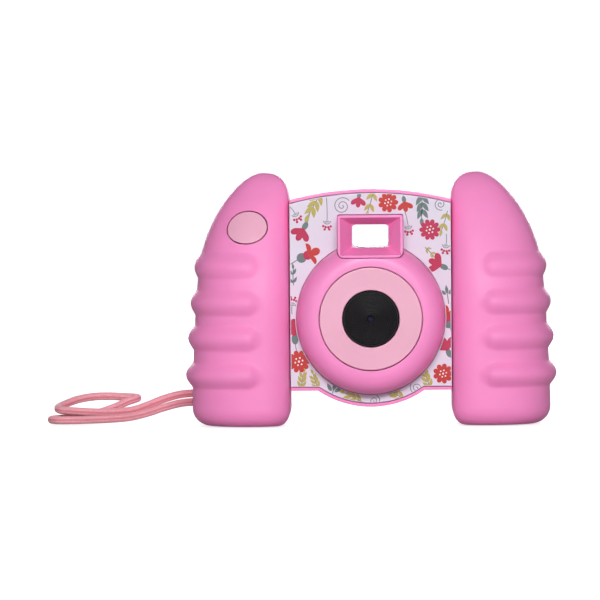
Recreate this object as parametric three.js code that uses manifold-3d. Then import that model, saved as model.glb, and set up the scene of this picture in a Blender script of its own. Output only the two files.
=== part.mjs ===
// Children's digital camera with two ribbed grips, a round lens dome and a wrist strap.
// Millimetres. +Z is up, the lens looks along -Y, and the camera stands on its two grips at z = 0.
// "right" is the user's right hand, which is at -X, and the shutter button is on that side.

import * as THREE from 'three';
import { mergeVertices } from 'three/addons/utils/BufferGeometryUtils.js';
import Module from 'manifold-3d';

const wasm = await Module();
wasm.setup();

// ---------------------------------------------------------------- driving dimensions

const GAP = 0.3;                 // between pieces that touch
const WELD = 1e-4;               // vertices closer than this are one
const FAR = 200;                 // half-length of a cutting tool that reaches past everything

// grips
const GRIP_TOP = 100.5;          // height of the crown
const CROWN_X = 43;              // the crown's distance from the centre plane
const CROWN_Y = 3;               // the crown's depth, also the split between front and rear shells
const GRIP_INNER = 32.2;         // inner wall, against the centre body
const GRIP_OUTER = 71.5;         // outer wall at the foot, between the ribs
const GRIP_TAPER = 2.7;          // how far the outer wall leans in at TAPER_HEIGHT
const TAPER_HEIGHT = 60;
const GRIP_FRONT = -22;
const GRIP_BACK = 27;
const OUTER_FADE = [60, 2.1, 1.7];   // each wall's rounding into the crown: the height where it
const INNER_FADE = [88, 2.6, 2.6];   // starts, and how flat and how round it is
const FRONT_FADE = [48, 1.6, 1.6];
const BACK_FADE = [58, 2.2, 2.2];
const CREST_SHARE = 0.33;        // the crest line's place across the grip, from the inner wall
const GRIP_WALL = 2.4;
const FOOT_RADIUS = 7;           // outer, front and back lower edges
const FOOT_INNER_RADIUS = 5;
const HOLLOW_LEVELS = [GRIP_WALL, 8, 30, 60, 72, 80, 87, 92, 95.5];
const CORNER_EXPONENT = 2.2;     // superellipses of the grip's outline: its inner corners,
const FRONT_EXPONENT = 2.3;      // its front
const BACK_EXPONENT = 2.5;       // and its back
const CORNER_SHARE = 0.4;        // depth of the inner corners' rounding, as a share of the half-depth

// finger ribs
const RIB_CRESTS = [20.3, 35.1, 49.1, 63.8];
const RIB_HEIGHT = 2.8;          // of the lowest rib
const RIB_FADE = 0.022;          // how much lower the ribs get for each millimetre up
const RIB_RADIUS = 5.2;
const RIB_ROUNDNESS = 1.35;      // exponent of the ribs' profile, lower is fuller
const RIB_FRONT_END = 49;        // the ribs' inner ends, in front and behind
const RIB_BACK_END = 66;

// centre body
const BODY_SIDE = 31.9;
const BODY_FRONT = -15;
const BODY_BACK = 19;
const BODY_WALL = 2.2;
const BODY_APEX = 93.8;
const BODY_TOP_RADIUS = 125;
const BODY_FLAT = 14.2;          // height of the flats beside the lower bulge
const BULGE_RADIUS = 37.5;
const BULGE_CENTRE = 45.2;
const RIM = 1.2;                 // casing edge round the faceplate
const PLATE_FLOOR = -13.6;       // floor of the faceplate's recess

// lens
const LENS_Z = 42.9;
const DOME_HALF_WIDTH = 29.3;
const DOME_HALF_HEIGHT = 30.2;
const DOME_FRONT = -28.3;
const RING_RADIUS = 20.2;
const RING_FRONT = -28;
const RING_BACK = -26.3;
const RING_RECESS = 20.55;       // radius of the hollow that the ring sits in
const BAFFLE_RADIUS = 11;
const BAFFLE_BACK = -21.8;
const BARREL_RADIUS = 7;

// viewfinder
const SIGHT_Z = 75.3;
const SIGHT_WIDTH = 14.6;
const SIGHT_HEIGHT = 9.2;
const TUBE_WALL = 1.5;
const HOOD_WIDTH = 25.6;
const HOOD_LOW = 66.9;
const HOOD_HIGH = 83.6;
const HOOD_FRONT = -26.6;
const HOOD_LIP = 0.9;
const FUNNEL_FLOOR = -18.6;
const WINDOW_THICKNESS = 1.2;
const EYECUP_BACK = 28.3;

// rear controls
const KEY_ROW_Z = 22.3;
const KEY_RADIUS = 4;
const SIDE_KEY_RADIUS = 3.3;
const KEY_FLANGE = 0.8;          // how far a key's flange stands past its cap
const KEY_PROUD = 1.3;
const SCREEN_X = -3.5;
const SCREEN_Z = 47.5;
const SCREEN_WIDTH = 40;
const SCREEN_HEIGHT = 30;
const KEYS = [
  ['power_key', -22.5, KEY_ROW_Z, KEY_RADIUS],
  ['mode_key', -7.5, KEY_ROW_Z, KEY_RADIUS],
  ['play_key', 7.5, KEY_ROW_Z, KEY_RADIUS],
  ['delete_key', 22.5, KEY_ROW_Z, KEY_RADIUS],
  ['up_key', 25, SCREEN_Z + 7, SIDE_KEY_RADIUS],
  ['down_key', 25, SCREEN_Z - 7, SIDE_KEY_RADIUS],
];

// ports, on the user's side of the viewfinder
const PORT_X = 21.4;
const PORT_Z = 75.3;
const FLAP_WIDTH = 12.8;
const FLAP_HEIGHT = 16;
const FLAP_THICKNESS = 2;
const SPEAKER_X = -21.9;
const SPEAKER_SLOT_PITCH = 2.6;
const SPEAKER_SLOT_HEIGHT = 1.2;
const SPEAKER_SLOT_HALF = 5.5;   // half the length of the middle slot
const SPEAKER_SLOT_LOSS = 0.9;   // how much shorter each next half-slot is

// shutter button
const SHUTTER_X = 48.8;
const SHUTTER_Z = 79.1;
const SHUTTER_HALF_WIDTH = 7.85;
const SHUTTER_HALF_HEIGHT = 6.8;
const SHUTTER_GAP = 0.4;

// batteries, two AAA cells one behind the other in each grip
const CELL_RADIUS = 5.25;
const CELL_LENGTH = 43.3;
const CELL_FOOT = 18.6;
const CELL_X = 48.5;
const CELL_Y = [4.2, 16.2];
const DOOR_INNER = 38.5;
const DOOR_OUTER = 58.5;
const DOOR_LOW = 15.5;
const DOOR_HIGH = 68;

// screws, each at x, z
const SCREW_HEAD_RADIUS = 2.3;
const SCREW_HEAD_HEIGHT = 1.6;
const SCREW_SHANK_RADIUS = 1.2;
const SCREW_BORE = 2.6;
const DOOR_SCREW_Y = 26.2;
const DOOR_SCREW_Z = 65.4;
const DOOR_SCREW_LENGTH = 6;
const GRIP_SCREW_Y = 24.6;
const GRIP_SCREW_Z = 76;
const LONG_SCREW_LENGTH = 10;
const CASE_SCREWS = [[-27.6, 86], [27.6, 86], [-15, 14.6], [15, 14.6]];

// wrist strap
const CORD_DIAMETER = 3.2;
const TETHER_DIAMETER = 1.2;
const LUG_X = -64;
const LUG_Z = 9.5;
const LUG_THICKNESS = 3;
const LUG_BACK = 28.1;
const LUG_HOLE_Y = 25;
const LUG_HALF_WIDTH = 3.1;
const LUG_HOLE_RADIUS = 1.6;
const FERRULE = { x: [-69.8, -61.2], y: 34, z: LUG_Z, halfDepth: 3.4, halfHeight: 4 };

// ---------------------------------------------------------------- solids from geometry

function signedVolume(position, triangles) {
  const a = new THREE.Vector3();
  const b = new THREE.Vector3();
  const c = new THREE.Vector3();
  let sum = 0;
  for (let i = 0; i < triangles.length; i += 3) {
    a.fromArray(position, triangles[i] * 3);
    b.fromArray(position, triangles[i + 1] * 3);
    c.fromArray(position, triangles[i + 2] * 3);
    sum += a.dot(b.cross(c));
  }
  return sum / 6;
}

// A closed geometry becomes a solid with its faces pointing out.
function solid(geometry) {
  const bare = new THREE.BufferGeometry();
  bare.setAttribute('position', geometry.getAttribute('position'));
  bare.setIndex(geometry.index);
  const welded = mergeVertices(bare, WELD);
  const position = welded.getAttribute('position').array;
  const corners = welded.index.array;
  const triangles = [];
  for (let i = 0; i < corners.length; i += 3) {
    const [a, b, c] = [corners[i], corners[i + 1], corners[i + 2]];
    if (a !== b && b !== c && c !== a) {
      triangles.push(a, b, c);
    }
  }
  if (signedVolume(position, triangles) < 0) {
    triangles.reverse();
  }
  return new wasm.Manifold(new wasm.Mesh({
    numProp: 3,
    vertProperties: Float32Array.from(position),
    triVerts: Uint32Array.from(triangles),
  }));
}

function asGeometry(manifold) {
  const { vertProperties, triVerts } = manifold.getMesh();
  const geometry = new THREE.BufferGeometry();
  geometry.setAttribute('position', new THREE.BufferAttribute(Float32Array.from(vertProperties), 3));
  geometry.setIndex([...triVerts]);
  return geometry;
}

function union(solids) {
  return solids.reduce((whole, piece) => whole.add(piece));
}

function box([x0, x1], [y0, y1], [z0, z1]) {
  const geometry = new THREE.BoxGeometry(x1 - x0, y1 - y0, z1 - z0);
  geometry.translate((x0 + x1) / 2, (y0 + y1) / 2, (z0 + z1) / 2);
  return solid(geometry);
}

// A cylinder along Y.
function drum(radius, [y0, y1], x, z, segments = 20) {
  const geometry = new THREE.CylinderGeometry(radius, radius, y1 - y0, segments);
  geometry.translate(x, (y0 + y1) / 2, z);
  return solid(geometry);
}

// A cylinder along Z.
function post(radius, [z0, z1], x, y, segments = 20) {
  const geometry = new THREE.CylinderGeometry(radius, radius, z1 - z0, segments);
  geometry.rotateX(Math.PI / 2);
  geometry.translate(x, y, (z0 + z1) / 2);
  return solid(geometry);
}

// A profile of [radius, y] turned about the Y axis at x, z.
function turned(profile, x, z, segments = 24) {
  const points = profile.map(([radius, y]) => new THREE.Vector2(radius, y));
  const geometry = new THREE.LatheGeometry(points, segments);
  geometry.translate(x, 0, z);
  return solid(geometry);
}

// An outline drawn in (x, z), extruded from y0 to y1.
function slab(outline, [y0, y1], curveSegments = 3) {
  const geometry = new THREE.ExtrudeGeometry(outline, {
    depth: y1 - y0,
    bevelEnabled: false,
    curveSegments,
  });
  geometry.rotateX(Math.PI / 2);
  geometry.translate(0, y1, 0);
  return solid(geometry);
}

function roundedRectangle(x, z, width, height, lowRadius, highRadius = lowRadius) {
  const [left, right] = [x - width / 2, x + width / 2];
  const [low, high] = [z - height / 2, z + height / 2];
  const shape = new THREE.Shape();
  shape.moveTo(left + lowRadius, low);
  shape.lineTo(right - lowRadius, low);
  shape.absarc(right - lowRadius, low + lowRadius, lowRadius, -Math.PI / 2, 0);
  shape.lineTo(right, high - highRadius);
  shape.absarc(right - highRadius, high - highRadius, highRadius, 0, Math.PI / 2);
  shape.lineTo(left + highRadius, high);
  shape.absarc(left + highRadius, high - highRadius, highRadius, Math.PI / 2, Math.PI);
  shape.lineTo(left, low + lowRadius);
  shape.absarc(left + lowRadius, low + lowRadius, lowRadius, Math.PI, Math.PI * 1.5);
  return shape;
}

function ellipse(x, z, halfWidth, halfHeight) {
  const shape = new THREE.Shape();
  shape.absellipse(x, z, halfWidth, halfHeight, 0, Math.PI * 2);
  return shape;
}

// Rings of points, all with the same count, joined in order. Each end closes on its middle,
// or on the apex where one is given.
function loft(rings, apex) {
  const count = rings[0].length;
  const points = rings.flat();
  const index = [];
  for (let ring = 0; ring + 1 < rings.length; ring += 1) {
    for (let i = 0; i < count; i += 1) {
      const next = (i + 1) % count;
      const low = ring * count;
      const high = low + count;
      index.push(low + i, low + next, high + next);
      index.push(low + i, high + next, high + i);
    }
  }
  const middle = (ring) => ring.reduce((sum, p) => sum.add(p), new THREE.Vector3()).divideScalar(count);
  const first = points.push(middle(rings[0])) - 1;
  const last = points.push(apex ?? middle(rings[rings.length - 1])) - 1;
  const lastRing = (rings.length - 1) * count;
  for (let i = 0; i < count; i += 1) {
    const next = (i + 1) % count;
    index.push(first, next, i);
    index.push(last, lastRing + i, lastRing + next);
  }
  const geometry = new THREE.BufferGeometry();
  geometry.setAttribute('position', new THREE.Float32BufferAttribute(points.flatMap((p) => [...p]), 3));
  geometry.setIndex(index);
  return solid(geometry);
}

// A round cord along hand-chosen points.
function cord(points, diameter, sides, steps) {
  const path = new THREE.CatmullRomCurve3(points.map((p) => new THREE.Vector3(...p)));
  const section = [];
  for (let side = 0; side < sides; side += 1) {
    const angle = (side * Math.PI * 2) / sides;
    section.push(new THREE.Vector2(Math.cos(angle), Math.sin(angle)).multiplyScalar(diameter / 2));
  }
  return solid(new THREE.ExtrudeGeometry(new THREE.Shape(section), { steps, extrudePath: path }));
}

// ---------------------------------------------------------------- the assembly

const camera = new THREE.Group();

const MATERIALS = {
  pink: { color: 0xf893ca, roughness: 0.5, metalness: 0 },
  palePink: { color: 0xebb5ca, roughness: 0.35, metalness: 0 },
  plate: { color: 0xe8def0, roughness: 0.15, metalness: 0 },
  black: { color: 0x231e23, roughness: 0.4, metalness: 0 },
  clear: { color: 0xdfe8ee, roughness: 0.05, metalness: 0 },
  lensGlass: { color: 0x20242c, roughness: 0.03, metalness: 0 },
  board: { color: 0x1f6b3c, roughness: 0.5, metalness: 0 },
  steel: { color: 0xb9bcc0, roughness: 0.3, metalness: 1 },
  rubber: { color: 0xd9d6da, roughness: 0.7, metalness: 0 },
  cell: { color: 0x5c7f4a, roughness: 0.3, metalness: 0.6 },
  cord: { color: 0xe48591, roughness: 0.9, metalness: 0 },
};

function add(name, shape, material, parent = camera) {
  const mesh = new THREE.Mesh(asGeometry(shape), new THREE.MeshStandardMaterial(MATERIALS[material]));
  mesh.name = name;
  parent.add(mesh);
  return mesh;
}

// ---------------------------------------------------------------- grips

// 1 below start, falling to 0 at the crown along a superellipse.
function crownFade(z, start, flatness, roundness) {
  const rise = THREE.MathUtils.clamp((z - start) / (GRIP_TOP - start), 0, 1);
  return (1 - rise ** flatness) ** (1 / roundness);
}

// How far the lower edge's rounding pulls a wall in at a height.
function footInset(z, radius) {
  const drop = THREE.MathUtils.clamp(1 - z / FOOT_RADIUS, 0, 1);
  return radius * (1 - Math.sqrt(1 - drop * drop));
}

// The walls of a grip at one height.
function gripWalls(z) {
  const outerReach = GRIP_OUTER - CROWN_X - GRIP_TAPER * (z / TAPER_HEIGHT) ** 2;
  const outer = CROWN_X + outerReach * crownFade(z, ...OUTER_FADE) - footInset(z, FOOT_RADIUS);
  const inner = CROWN_X - (CROWN_X - GRIP_INNER) * crownFade(z, ...INNER_FADE);
  const front = CROWN_Y + (GRIP_FRONT - CROWN_Y) * crownFade(z, ...FRONT_FADE);
  const back = CROWN_Y + (GRIP_BACK - CROWN_Y) * crownFade(z, ...BACK_FADE);
  return {
    inner: inner + footInset(z, FOOT_INNER_RADIUS),
    outer,
    front: front + footInset(z, FOOT_RADIUS),
    back: back - footInset(z, FOOT_RADIUS),
  };
}

function ribHeight(x, y, z) {
  const end = y < CROWN_Y ? RIB_FRONT_END : RIB_BACK_END;
  let height = 0;
  for (const crest of RIB_CRESTS) {
    const distance = Math.hypot(z - crest, Math.max(0, end - x));
    const share = Math.max(0, 1 - (distance / RIB_RADIUS) ** 2);
    height += share ** RIB_ROUNDNESS * (RIB_HEIGHT - RIB_FADE * (crest - RIB_CRESTS[0]));
  }
  return height;
}

// A quarter of a superellipse from angle 0, on the x side, to 90 degrees, on the y side.
function quarter(centreX, centreY, reachX, reachY, exponent, steps, fromY) {
  const points = [];
  for (let i = 0; i <= steps; i += 1) {
    const share = fromY ? 1 - i / steps : i / steps;
    const angle = (share * Math.PI) / 2;
    const x = centreX + reachX * Math.cos(angle) ** (2 / exponent);
    const y = centreY + reachY * Math.sin(angle) ** (2 / exponent);
    points.push(new THREE.Vector2(x, y));
  }
  return points;
}

// The grip's outline at one height, inset from the outer surface.
function gripRing(z, inset, ribbed) {
  const walls = gripWalls(z);
  const [inner, outer] = [walls.inner + inset, walls.outer - inset];
  const [front, back] = [walls.front + inset, walls.back - inset];
  const crest = inner + (outer - inner) * CREST_SHARE;
  const middle = CROWN_Y;
  const frontCorner = (middle - front) * CORNER_SHARE;
  const backCorner = (back - middle) * CORNER_SHARE;
  const outline = [
    ...quarter(crest, front + frontCorner, inner - crest, -frontCorner, CORNER_EXPONENT, 3, false),
    ...quarter(crest, middle, outer - crest, front - middle, FRONT_EXPONENT, 8, true).slice(1),
    ...quarter(crest, middle, outer - crest, back - middle, BACK_EXPONENT, 6, false).slice(1),
    ...quarter(crest, back - backCorner, inner - crest, backCorner, CORNER_EXPONENT, 3, true).slice(1),
  ];
  return outline.map((point) => {
    const across = (point.x - crest) / (outer - crest) ** 2;
    const along = (point.y - middle) / (back - middle) ** 2;
    const outward = new THREE.Vector2(across, along).normalize();
    const lift = ribbed ? ribHeight(point.x, point.y, z) : 0;
    return new THREE.Vector3(point.x + outward.x * lift, point.y + outward.y * lift, z);
  });
}

function gripLevels() {
  const foot = [0, 0.9, 3, FOOT_RADIUS, 11];
  const ribs = RIB_CRESTS.flatMap((crest) => [-1, -0.5, 0, 0.5, 1].map((k) => crest + k * RIB_RADIUS));
  const crown = [74, 79, 84, 88, 91.5, 94.5, 97, 98.8, 100];
  return [...foot, ...ribs, ...crown];
}

const gripSkin = loft(
  gripLevels().map((z) => gripRing(z, 0, true)),
  new THREE.Vector3(CROWN_X, CROWN_Y, GRIP_TOP),
);
const gripHollow = loft(HOLLOW_LEVELS.map((z) => gripRing(z, GRIP_WALL, false)));
const gripShell = gripSkin.subtract(gripHollow);

// The point on the grip's front at x, z, and its outward normal, in the left grip's coordinates.
function gripFrontAt(x, z) {
  const walls = gripWalls(z);
  const crest = walls.inner + (walls.outer - walls.inner) * CREST_SHARE;
  const across = Math.abs(x - crest) / (walls.outer - crest);
  const depth = (1 - across ** FRONT_EXPONENT) ** (1 / FRONT_EXPONENT);
  return CROWN_Y + (walls.front - CROWN_Y) * depth;
}

function gripFrontNormal(x, z) {
  const step = 0.5;
  const acrossSlope = (gripFrontAt(x + step, z) - gripFrontAt(x - step, z)) / (2 * step);
  const upSlope = (gripFrontAt(x, z + step) - gripFrontAt(x, z - step)) / (2 * step);
  return new THREE.Vector3(acrossSlope, -1, upSlope).normalize();
}

function mirrored(shape, side) {
  if (side > 0) {
    return shape;
  }
  const geometry = asGeometry(shape);
  geometry.scale(-1, 1, 1);
  return solid(geometry);
}

// The button's own frame: its -Y axis is the outward normal at its centre.
const shutterNormal = gripFrontNormal(SHUTTER_X, SHUTTER_Z);
const shutterCentre = new THREE.Vector3(SHUTTER_X, gripFrontAt(SHUTTER_X, SHUTTER_Z), SHUTTER_Z);
const shutterTurn = new THREE.Quaternion().setFromUnitVectors(new THREE.Vector3(0, -1, 0), shutterNormal);

// A piece drawn in the button's frame, placed in the left grip's coordinates.
function atShutter(shape) {
  const geometry = asGeometry(shape);
  geometry.applyQuaternion(shutterTurn);
  geometry.translate(...shutterCentre);
  return solid(geometry);
}

function shutterPrism(margin, range) {
  const outline = ellipse(0, 0, SHUTTER_HALF_WIDTH + margin, SHUTTER_HALF_HEIGHT + margin);
  return atShutter(slab(outline, range, 9));
}

function makeShutter() {
  const cap = gripShell.intersect(shutterPrism(0, [-6, 4]));
  const stem = shutterPrism(-1.5, [1.2, 6]);
  const flange = shutterPrism(0.8, [4.8, 6]);
  add('shutter_button', mirrored(union([cap, stem, flange]), -1), 'palePink');
  const knob = slab(roundedRectangle(0, 0, 3, 3, 0.6), [7.2, 8.2]);
  const block = slab(roundedRectangle(0, 0, 6.2, 6.2, 0.6), [8, 11.2]);
  add('shutter_switch', mirrored(atShutter(knob.add(block)), -1), 'black');
  const board = slab(roundedRectangle(0, 0, 15, 11, 1), [11.5, 12.7]);
  add('shutter_board', mirrored(atShutter(board), -1), 'board');
}

// A pan-head screw along Y with a cross recess. The head's top is at y, and the shank runs to -Y.
function screw(x, y, z, length) {
  const headBase = y - SCREW_HEAD_HEIGHT;
  const profile = [
    [0, y], [SCREW_HEAD_RADIUS - 0.6, y], [SCREW_HEAD_RADIUS, y - 0.6], [SCREW_HEAD_RADIUS, headBase],
    [SCREW_SHANK_RADIUS, headBase], [SCREW_SHANK_RADIUS, y - length + 1], [0, y - length],
  ];
  const body = turned(profile, x, z, 12);
  const [long, short, deep] = [1.4, 0.3, 0.9];
  const slotA = box([x - long, x + long], [y - deep, y + 1], [z - short, z + short]);
  const slotB = box([x - short, x + short], [y - deep, y + 1], [z - long, z + long]);
  return body.subtract(slotA).subtract(slotB);
}

function makeGrip(word, side) {
  const everywhere = [-FAR, FAR];
  const frontHalf = box([0, FAR], [-FAR, CROWN_Y - GAP / 2], everywhere);
  const backHalf = box([0, FAR], [CROWN_Y + GAP / 2, FAR], everywhere);
  const doorBox = box([DOOR_INNER, DOOR_OUTER], [CROWN_Y + 10, FAR], [DOOR_LOW, DOOR_HIGH]);
  const doorway = box(
    [DOOR_INNER - GAP, DOOR_OUTER + GAP],
    [CROWN_Y + 10, FAR],
    [DOOR_LOW - GAP, DOOR_HIGH + GAP],
  );
  let front = gripShell.intersect(frontHalf);
  let rear = gripShell.intersect(backHalf).subtract(doorway);
  rear = rear.subtract(drum(SCREW_BORE, [CROWN_Y + 8, FAR], CELL_X, GRIP_SCREW_Z, 12));
  if (side < 0) {
    front = front.subtract(shutterPrism(SHUTTER_GAP, [-6, 5]));
    rear = addStrapLug(rear);
  }
  add(`${word}_grip_front`, mirrored(front, side), 'pink');
  add(`${word}_grip_rear`, mirrored(rear, side), 'pink');

  const doorHole = drum(SCREW_BORE, [CROWN_Y + 8, FAR], CELL_X, DOOR_SCREW_Z, 12);
  const door = gripShell.intersect(doorBox).subtract(doorHole);
  add(`${word}_battery_door`, mirrored(door, side), 'pink');
  add(`${word}_door_screw`, screw(side * CELL_X, DOOR_SCREW_Y, DOOR_SCREW_Z, DOOR_SCREW_LENGTH), 'steel');
  add(`${word}_grip_screw`, screw(side * CELL_X, GRIP_SCREW_Y, GRIP_SCREW_Z, LONG_SCREW_LENGTH), 'steel');
  makeBatteries(word, side);
}

// The tab with an eye that the strap's thin loop goes through.
function addStrapLug(rear) {
  const x = -LUG_X;
  const [low, high] = [LUG_Z - LUG_THICKNESS / 2, LUG_Z + LUG_THICKNESS / 2];
  const tipY = LUG_BACK - LUG_HALF_WIDTH;
  const tip = post(LUG_HALF_WIDTH, [low, high], x, tipY, 16);
  const root = box([x - LUG_HALF_WIDTH, x + LUG_HALF_WIDTH], [CROWN_Y + 8, tipY], [low, high]);
  const eye = post(LUG_HOLE_RADIUS, [low - 1, high + 1], x, LUG_HOLE_Y, 16);
  return rear.add(union([tip, root]).subtract(gripHollow)).subtract(eye);
}

function makeBatteries(word, side) {
  const x = CELL_X;
  const cellTop = CELL_FOOT + CELL_LENGTH;
  let holder = box([x - 7.2, x + 7.2], [-3.2, 22.2], [CELL_FOOT - 2.4, cellTop + 2]);
  for (const y of CELL_Y) {
    holder = holder.subtract(post(CELL_RADIUS + GAP, [CELL_FOOT - GAP, cellTop + 1.2], x, y, 16));
  }
  const mouth = box([x - 5.4, x + 5.4], [CELL_Y[0], FAR], [CELL_FOOT - GAP, cellTop + 1.2]);
  add(`${word}_battery_holder`, mirrored(holder.subtract(mouth), side), 'black');
  CELL_Y.forEach((y, index) => {
    const can = post(CELL_RADIUS, [CELL_FOOT, cellTop], side * x, y, 16);
    const nub = post(1.9, [cellTop - 0.5, cellTop + 0.8], side * x, y, 12);
    add(`${word}_cell_${index + 1}`, can.add(nub), 'cell');
  });
}

// ---------------------------------------------------------------- centre body

// The body's outline as seen from the front, inset at the top and bottom, and at the sides.
function bodyOutline(inset, sideInset) {
  const side = BODY_SIDE - sideInset;
  const topRadius = BODY_TOP_RADIUS - inset;
  const topCentre = BODY_APEX - BODY_TOP_RADIUS;
  const topAngle = Math.asin(side / topRadius);
  const bulge = BULGE_RADIUS - inset;
  const flat = BODY_FLAT + inset;
  const bulgeAngle = Math.acos((BULGE_CENTRE - flat) / bulge);
  const points = [new THREE.Vector2(-side, flat)];
  const bulgeSteps = 12;
  for (let i = 0; i <= bulgeSteps; i += 1) {
    const angle = bulgeAngle * ((2 * i) / bulgeSteps - 1);
    points.push(new THREE.Vector2(bulge * Math.sin(angle), BULGE_CENTRE - bulge * Math.cos(angle)));
  }
  points.push(new THREE.Vector2(side, flat));
  const topSteps = 10;
  for (let i = 0; i <= topSteps; i += 1) {
    const angle = topAngle * (1 - (2 * i) / topSteps);
    points.push(new THREE.Vector2(topRadius * Math.sin(angle), topCentre + topRadius * Math.cos(angle)));
  }
  return points;
}

function bodySlab(inset, sideInset, range) {
  return slab(new THREE.Shape(bodyOutline(inset, sideInset)), range);
}

function bodyLoft(stations) {
  const rings = stations.map(([y, inset, sideInset]) =>
    bodyOutline(inset, sideInset).map((p) => new THREE.Vector3(p.x, y, p.y)));
  return loft(rings);
}

function tubeOuter(margin, range) {
  const width = SIGHT_WIDTH + 2 * (TUBE_WALL + margin);
  const height = SIGHT_HEIGHT + 2 * (TUBE_WALL + margin);
  return slab(roundedRectangle(0, SIGHT_Z, width, height, 2.2), range);
}

function tubeInner(range) {
  return slab(roundedRectangle(0, SIGHT_Z, SIGHT_WIDTH, SIGHT_HEIGHT, 1.8), range);
}

function domeSolid(margin) {
  const stations = [
    [PLATE_FLOOR - GAP, 1], [-18, 1], [-21.5, 0.985], [-24.2, 0.945], [-26.3, 0.875], [-27.6, 0.79],
    [DOME_FRONT, 0.715],
  ];
  const rings = stations.map(([y, share]) => {
    const ring = [];
    for (let i = 0; i < 40; i += 1) {
      const angle = (i * Math.PI * 2) / 40;
      const x = (DOME_HALF_WIDTH * share + margin) * Math.cos(angle);
      const z = LENS_Z + (DOME_HALF_HEIGHT * share + margin) * Math.sin(angle);
      ring.push(new THREE.Vector3(x, y, z));
    }
    return ring;
  });
  return loft(rings);
}

function hoodPrism(margin, range) {
  const height = HOOD_HIGH - HOOD_LOW + 2 * margin;
  const width = HOOD_WIDTH + 2 * margin;
  const outline = roundedRectangle(0, (HOOD_LOW + HOOD_HIGH) / 2, width, height, 2.5, 0.8);
  return slab(outline, range);
}

function makeFrontCasing() {
  let casing = bodySlab(0, 0, [BODY_FRONT, CROWN_Y - GAP / 2]);
  casing = casing.subtract(bodySlab(BODY_WALL, BODY_WALL, [PLATE_FLOOR + 2, FAR]));
  casing = casing.subtract(bodySlab(RIM, -1, [-FAR, PLATE_FLOOR]));
  casing = casing.subtract(drum(BARREL_RADIUS + 1.5, [-FAR, 0], 0, LENS_Z));
  casing = casing.subtract(tubeOuter(GAP, [-FAR, 0]));
  add('front_casing', casing, 'pink');
}

function makeFaceplate() {
  let plate = bodySlab(RIM + GAP, 0, [BODY_FRONT - 0.1, PLATE_FLOOR - GAP]);
  const domeHole = ellipse(0, LENS_Z, DOME_HALF_WIDTH + GAP, DOME_HALF_HEIGHT + GAP);
  plate = plate.subtract(slab(domeHole, [-FAR, FAR], 12));
  plate = plate.subtract(hoodPrism(GAP, [-FAR, FAR]));
  add('faceplate', plate, 'plate');
}

function makeLens() {
  let dome = domeSolid(0);
  dome = dome.subtract(drum(RING_RECESS, [-FAR, RING_BACK + GAP], 0, LENS_Z, 40));
  dome = dome.subtract(drum(BAFFLE_RADIUS + 1.5, [-FAR, FAR], 0, LENS_Z));
  dome = dome.subtract(drum(RING_RADIUS - 1, [-23.8, FAR], 0, LENS_Z));
  dome = dome.subtract(hoodPrism(GAP, [-FAR, FAR]));
  add('lens_dome', dome, 'pink');

  const ringInner = BAFFLE_RADIUS + GAP;
  const ringProfile = [
    [ringInner, -27.6], [ringInner + 0.4, RING_FRONT], [RING_RADIUS - 0.5, RING_FRONT],
    [RING_RADIUS, -27.6], [RING_RADIUS, RING_BACK], [ringInner, RING_BACK], [ringInner, -27.6],
  ];
  add('lens_ring', turned(ringProfile, 0, LENS_Z, 32), 'palePink');

  const lip = [[4, BAFFLE_BACK], [BAFFLE_RADIUS, BAFFLE_BACK], [BAFFLE_RADIUS, -27.7]];
  const grooves = [];
  const grooveCount = 5;
  for (let i = 0; i < grooveCount; i += 1) {
    const radius = BAFFLE_RADIUS - 0.6 - i * 1.3;
    const depth = -27.6 + i * 0.7;
    grooves.push([radius, depth], [radius - 0.4, depth + 0.7]);
  }
  add('lens_baffle', turned([...lip, ...grooves, [4, -23.6], [4, BAFFLE_BACK]], 0, LENS_Z, 20), 'black');

  const glass = [[0, -23.5], [1.6, -23.3], [3, -22.6], [3.5, -22.2], [3.5, -21.4], [0, -21.4]];
  add('objective_lens', turned(glass, 0, LENS_Z, 16), 'lensGlass');

  const barrel = [
    [3.2, -21], [BARREL_RADIUS, -21], [BARREL_RADIUS, -10], [BARREL_RADIUS - 2, -10],
    [BARREL_RADIUS - 2, -14], [3.2, -14], [3.2, -21],
  ];
  add('lens_barrel', turned(barrel, 0, LENS_Z, 20), 'black');
  const chip = box([-3.3, 3.3], [-11.2, -9.7], [LENS_Z - 3.3, LENS_Z + 3.3]);
  add('image_sensor', chip, 'black');
  const sensorBoard = slab(roundedRectangle(0, LENS_Z, 22, 22, 1.5), [-9.4, -8.2]);
  add('sensor_board', sensorBoard, 'board');
}

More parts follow.
